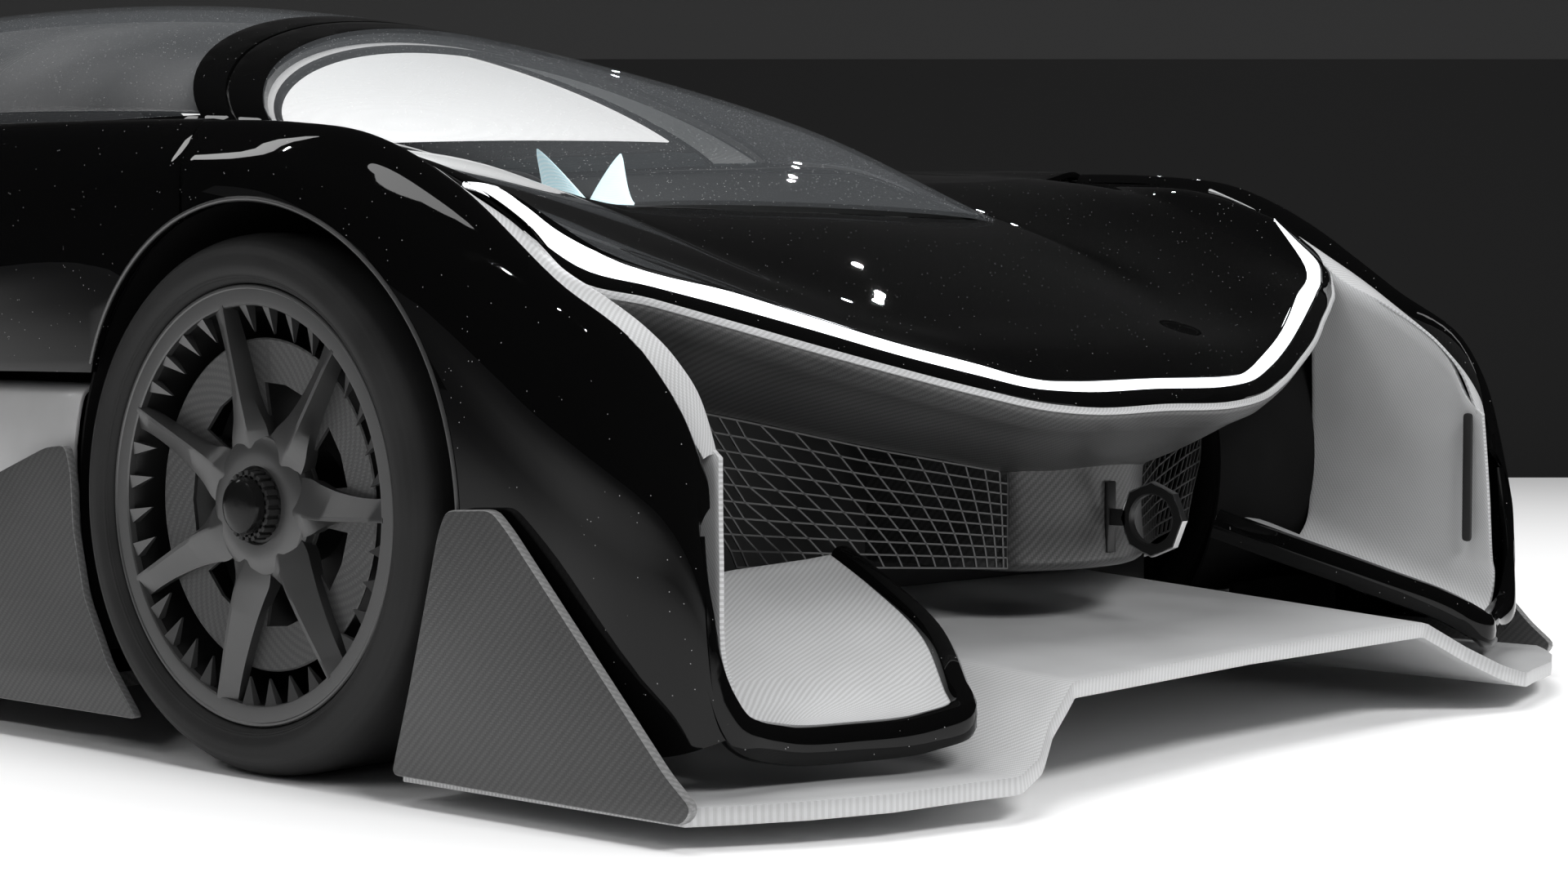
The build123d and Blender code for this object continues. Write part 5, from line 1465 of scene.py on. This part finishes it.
def seat_shell():
    """Shell with raised bolsters: a channel section carried along the line of the seat."""
    line = through(SEAT_LINE, 6)
    rows = []
    for k, (d, z) in enumerate(line):
        share = k / (len(line) - 1)
        half = SEAT_HALF - NARROWING * max(0, share - .75) * 4 * share
        wing = BOLSTER * math.sin(math.pi * min(1, share * 1.05)) ** .6
        forth, up = unit(np.gradient(line, axis=0))[k]
        section = [(-half, wing), (-half * .90, wing * .96), (-half * .78, .015), (0, 0), (half * .78, .015),
                   (half * .90, wing * .96), (half, wing)]
        rows.append([(x, FRONT_Y + d - up * rise, z + forth * rise) for x, rise in section])
    return columns_through(np.array(rows), 5)


panel("seat_shell", seat_shell(), SILVER_TWILL, (0, -.5, 1), .016, .003, slot="interior", nodes=["seat"])
base = block((-.23, FRONT_Y + .86, seat_foot - .002), (.23, FRONT_Y + 1.50, .235), .012)
settle(add_object("seat_base", base), SATIN_BLACK, slot="interior")
for name, spot, width, length, depth, channels in (
    ("seat_cushion", ((.83, .335), (1.27, .225)), .40, .44, .045, 6),
    ("seat_back", ((1.44, .315), (1.74, .790)), .38, .54, .040, 8),
    ("headrest", ((1.735, .80), (1.815, .905)), .24, .12, .035, 2),
):
    cushion = sloped(pad(name, width, length, depth, channels), *spot)
    settle(cushion, PALE_CLOTH, slot="interior_fabric", crease=60)
print("seat shell and three pads")


# %% [markdown]
# The dashboard is a soft roll across the cabin, with two pale pointed wings on top that show over the hood.
# The wings glow with painted light, though they are no lamps.
# The steering wheel is a flat, squared ring that turns on its own body.

# %% Dashboard and steering wheel
DASH_SIDE = [(.262, .640), (.300, .612), (.420, .602), (.438, .650), (.410, .705), (.330, .737), (.262, .725),
             (.242, .690)]
loop = through([*DASH_SIDE, DASH_SIDE[0]], 4)[:-1]
DIP, SIDE_GAP = .03, .004                # fall of the dashboard's ends, and the gap beside them
half_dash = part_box("dashboard")[1].x - SIDE_GAP
dash_rows = []
for x in np.linspace(-half_dash, half_dash, 25):
    dip = DIP * (abs(x) / half_dash) ** 3
    dash_rows.append([(x, FRONT_Y + d - dip * .5, z - dip) for d, z in loop])
dash = add_object("dash_roll", capped("dash", np.array(dash_rows)))
settle(dash, SATIN_BLACK, slot="interior", nodes=["dashboard"])
column = turned("column", [(.0005, 0), (.022, 0), (.022, .235), (.030, .240), (.0005, .240)], 32)
grip_middle = middle("steering_wheel")
TILT, COLUMN_LENGTH = math.radians(20), .255
column.transform(Matrix.Translation(grip_middle - Vector((0, math.cos(TILT), math.sin(TILT))) * COLUMN_LENGTH)
                 @ Matrix.Rotation(TILT - math.pi / 2, 4, "X"))
settle(add_object("steering_column", column), DARK_METAL, slot="interior")


def wing(side):
    """Pointed wing on the dashboard, leaning outwards: an oval drawn up to a tip."""
    rows = []
    for t in np.linspace(0, 1, 12):
        x = side * (.045 + .045 * t ** 1.5) - .045
        half = .050 * (1 - t) ** .8 + .002
        z = .735 + .085 * t ** 1.2
        y = FRONT_Y + .345 + .02 * t
        rows.append([(x + side * half * .35 * math.cos(a), y + half * math.sin(a),
                      z + half * .25 * math.cos(a)) for a in circle(16)])
    return capped("wing", np.array(rows))


wings = join("dash_wings", [wing(side) for name, side in SIDES])
settle(wings, WING_CLOTH, slot="interior_fabric", crease=60)


def wheel_ring():
    """Grip: a tube along a squared ring."""
    half_w, half_h, squareness = .137, .096, 3.2
    path = []
    for a in circle(72):
        c, s = math.cos(a), math.sin(a)
        reach = (abs(c) ** squareness + abs(s) ** squareness) ** (-1 / squareness)
        path.append((half_w * c * reach, half_h * s * reach, 0))
    out, up = unit(path) * .0135, np.array((0, 0, .0125))
    grid = np.stack([path + out * math.cos(b) + up * math.sin(b) for b in circle(12)], axis=1)
    return weld(mesh_from_grid("grip", np.concatenate([grid, grid[:1]]), closed=True))


bar = block((-.124, -.016, -.010), (.124, .016, .008), .005)
boss = turned("boss", [(.0005, -.013), (.036, -.013), (.038, -.008), (.038, .008), (.034, .013),
                       (.0005, .013)], 48)
steering = join("grip_ring", [wheel_ring(), bar, boss])
steering.data.transform(Matrix.Translation(grip_middle) @ Matrix.Rotation(TILT - math.pi / 2, 4, "X"))
settle(steering, GRIP, "steering", "interior_grip", ["steering_wheel"], crease=40)
print("cabin pieces ready")


# %% [markdown]
# Some CAD solids already have the right shape and lack only soft edges. A copy is merged, its edges are
# bevelled, and the copy stands for the node. The hidden structure keeps its CAD mesh and gets a cast or
# painted finish.

# %% Soft-edged copies and finishes for the CAD pieces
def soft_copy(node, name, material, radius, slot):
    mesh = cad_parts[node].data.copy()
    with editing(mesh) as bm:
        bmesh.ops.remove_doubles(bm, verts=bm.verts, dist=1e-5)
        bmesh.ops.dissolve_limit(bm, angle_limit=math.radians(.5), verts=bm.verts, edges=bm.edges)
    obj = soften(add_object(name, mesh), radius, angle=35)
    return settle(obj, material, slot=slot, nodes=[node], crease=30)


def board_twill():
    """Twill for pieces with no cloth map, by their place: bands in two crossing directions."""
    cloth = Recipe("grey board twill", metallic=0.2, coat_weight=0.25, coat_roughness=0.28)
    x, y, z = (part / .003 for part in cloth.axes())
    over = two_over_two(x + z * .5, y + z * .5)
    cloud = cloth.noise(6.0)
    cloth.set(base_color=cloth.blend(over * .6 + cloud * .4, grey(.04), grey(.10)),
              roughness=.4 + cloud * .15)
    cloth.relief(over, .0002)
    return cloth.material


BOARD_TWILL = board_twill()
COPIES = (
    ("rear_fascia", "tail_panel", SATIN_BLACK, .004, "satin_black"),
    ("tail_lamp", "tail_light", LAMP_RED, .001, "lamp_red"),
    ("diffuser", "diffuser_tray", BOARD_TWILL, .002, "dark_carbon"),
    ("dorsal_fin", "roof_fin", CLEAR_GLASS, .002, "clear_glass"),
    ("tub", "cabin_tub", SATIN_BLACK, .003, "satin_black"),
)
for row in COPIES:
    copy = soft_copy(*row)
# the last copy, the tub, ends below the hood
slice_off(copy.data, Vector((0, FRONT_Y - .25, .615)), Vector((0, -.325, 1)).normalized())
KEPT = {
    "battery_pack": CASTING, "rear_motor": CASTING, "rear_subframe": SATIN_BLACK,
    "suspension_arms": DARK_METAL, "rear_uprights": CASTING, "knuckle_left": CASTING,
    "knuckle_right": CASTING, "floor_tray": BOARD_TWILL, "wheel_housings": LINER_BLACK,
}
for node, material in KEPT.items():
    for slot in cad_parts[node].material_slots:
        slot.material = material
print(len(KEPT), "CAD pieces keep their own mesh")


# %% [markdown]
# The car stands on a white floor in front of a dark wall, as on a motor show stand. Both are only a setting,
# so they are marked as stage. Each is painted on one side only, so it hides nothing from behind or below.

# %% Stage
EYE = Vector((-3.176, -4.196, .575))                # where the camera stands
HEADING = Vector((.7513, .6583, 0)).normalized()    # level, from the camera to the wall
LEVEL = Vector((.6590, -.7521, 0)).normalized()     # level, along the wall
WALL_AT, WALL_TOP, HEADER_TOP = 9.8, 1.43, 6


def sheet(name, first, second, half, material):
    """Plane between two places, reaching half its width to each side of them."""
    corners = first - LEVEL * half, first + LEVEL * half, second + LEVEL * half, second - LEVEL * half
    mesh = bpy.data.meshes.new(name)
    mesh.from_pydata([tuple(corner) for corner in corners], [], [(0, 1, 2, 3)])
    mesh.materials.append(material)
    add_object(name, mesh)


def stage_paint(name, level, roughness):
    """Matt paint with one side: from behind it is clear."""
    paint = Recipe(name, roughness=roughness, specular_ior_level=.2)
    paint.set(base_color=paint.blend(paint.noise(1.2, 4.0), grey(level * .97), grey(level)))
    side = paint.node("ShaderNodeNewGeometry", {}, output="Backfacing")
    clear = paint.node("ShaderNodeBsdfTransparent", {})
    mixed = paint.node("ShaderNodeMixShader", {}, side, Value(paint, paint.shader.outputs[0]), clear)
    paint.feed(paint.tree.nodes["Material Output"].inputs["Surface"], mixed)
    return paint.material


wall_foot = EYE + HEADING * WALL_AT
wall_foot.z = 0
wall_top = wall_foot + UP * WALL_TOP
sheet("stage_floor", wall_foot - HEADING * 30, wall_foot + HEADING * 20, 25,
      stage_paint("white floor", .86, .6))
sheet("stage_wall", wall_foot, wall_top, 20, stage_paint("dark wall", .009, .5))
sheet("stage_wall_top", wall_top, wall_foot + UP * HEADER_TOP, 20, stage_paint("wall header", .024, .5))
print("stage set")


# %% [markdown]
# Black paint is seen by what it mirrors. Four large lamps light the car and aren't mirrored. Two soft ovals
# and five small lamps are, and leave glows and points of light on it. The world is dim, and dimmer in a
# mirror.

# %% Lights
def soft_box(name, place, target, size, power, mirrored_too):
    data = bpy.data.lights.new(name, "AREA")
    data.shape = "ELLIPSE" if mirrored_too else "RECTANGLE"
    data.size, data.size_y, data.energy = size[0], size[1], power
    obj = bpy.data.objects.new(name, data)
    obj.location = place
    obj.visible_glossy = mirrored_too
    obj.rotation_euler = (Vector(target) - Vector(place)).to_track_quat("-Z", "Y").to_euler()
    bpy.context.collection.objects.link(obj)


# name, place, aim, size, power in watts, whether it is mirrored
LAMPS = (
    ("overhead", (0, -.4, 5.2), (0, -.4, 0), (4.0, 5.0), 330, False),
    ("key", (-1.2, -7.2, 5.4), (0, -2.0, .2), (3.2, 1.8), 420, False),
    ("far side", (5.5, -3.5, 3.4), (.6, -1.8, .3), (1.4, 3.0), 90, False),
    ("near side", (-6.0, -2.0, 4.4), (-.9, -1.2, .4), (1.0, 3.0), 60, False),
    ("fender glow", (-4.42, .41, 3.66), (-.96, -1.68, .72), (1.3, .5), 11, True),
    ("roof glow", (-3.2, 3.4, 4.2), (-.4, -.6, 1.0), (.5, 2.6), 22, True),
    ("point one", (3.55, .58, 3.00), (-.20, -1.72, .63), (.035, .035), 1.5, True),
    ("point two", (3.41, .32, 3.16), (-.29, -1.83, .59), (.035, .035), 1.5, True),
    ("point three", (3.07, 1.81, 1.73), (-.54, -1.50, .72), (.03, .03), .9, True),
    ("point four", (-5.02, -.05, 2.94), (-.96, -1.81, .62), (.035, .035), 1.5, True),
    ("point five", (-2.82, 1.93, 3.94), (-.98, -1.47, .77), (.035, .035), 1.5, True),
)
for lamp in LAMPS:
    soft_box(*lamp)
SEEN, MIRRORED = (.15, .15, .155, 1), (.012, .012, .013, 1)      # the world's colour, plain and in mirrors
world = bpy.data.worlds.new("studio")
bpy.context.scene.world = world
world.use_nodes = True
tree = world.node_tree
ray, sky = tree.nodes.new("ShaderNodeLightPath"), tree.nodes.new("ShaderNodeMix")
sky.data_type = "RGBA"
sky.inputs[6].default_value, sky.inputs[7].default_value = SEEN, MIRRORED
tree.links.new(ray.outputs["Is Glossy Ray"], sky.inputs[0])
tree.links.new(sky.outputs[2], tree.nodes["Background"].inputs["Color"])
bpy.context.scene.view_settings.view_transform = "Standard"
print(len(LAMPS), "lamps")


# %% [markdown]
# The camera stands low in front of the right front wheel. Its matrix is written from its three axes, so no
# tracking or constraint is needed.

# %% Camera
LENS, SENSOR, PITCH_DOWN = 65.64, 36, -.0456        # millimetres, and the view's fall for each metre ahead
camera_data = bpy.data.cameras.new("camera")
camera_data.lens, camera_data.sensor_width, camera_data.sensor_fit = LENS, SENSOR, "HORIZONTAL"
camera = add_object("camera", camera_data)
forward = Vector((.7513, .6583, PITCH_DOWN)).normalized()
right = forward.cross(UP).normalized()
columns = right, right.cross(forward), -forward, EYE
camera.matrix_world = Matrix([*zip(*columns), (0, 0, 0, 1)])
bpy.context.scene.camera = camera
print("camera", [round(v, 3) for v in EYE])
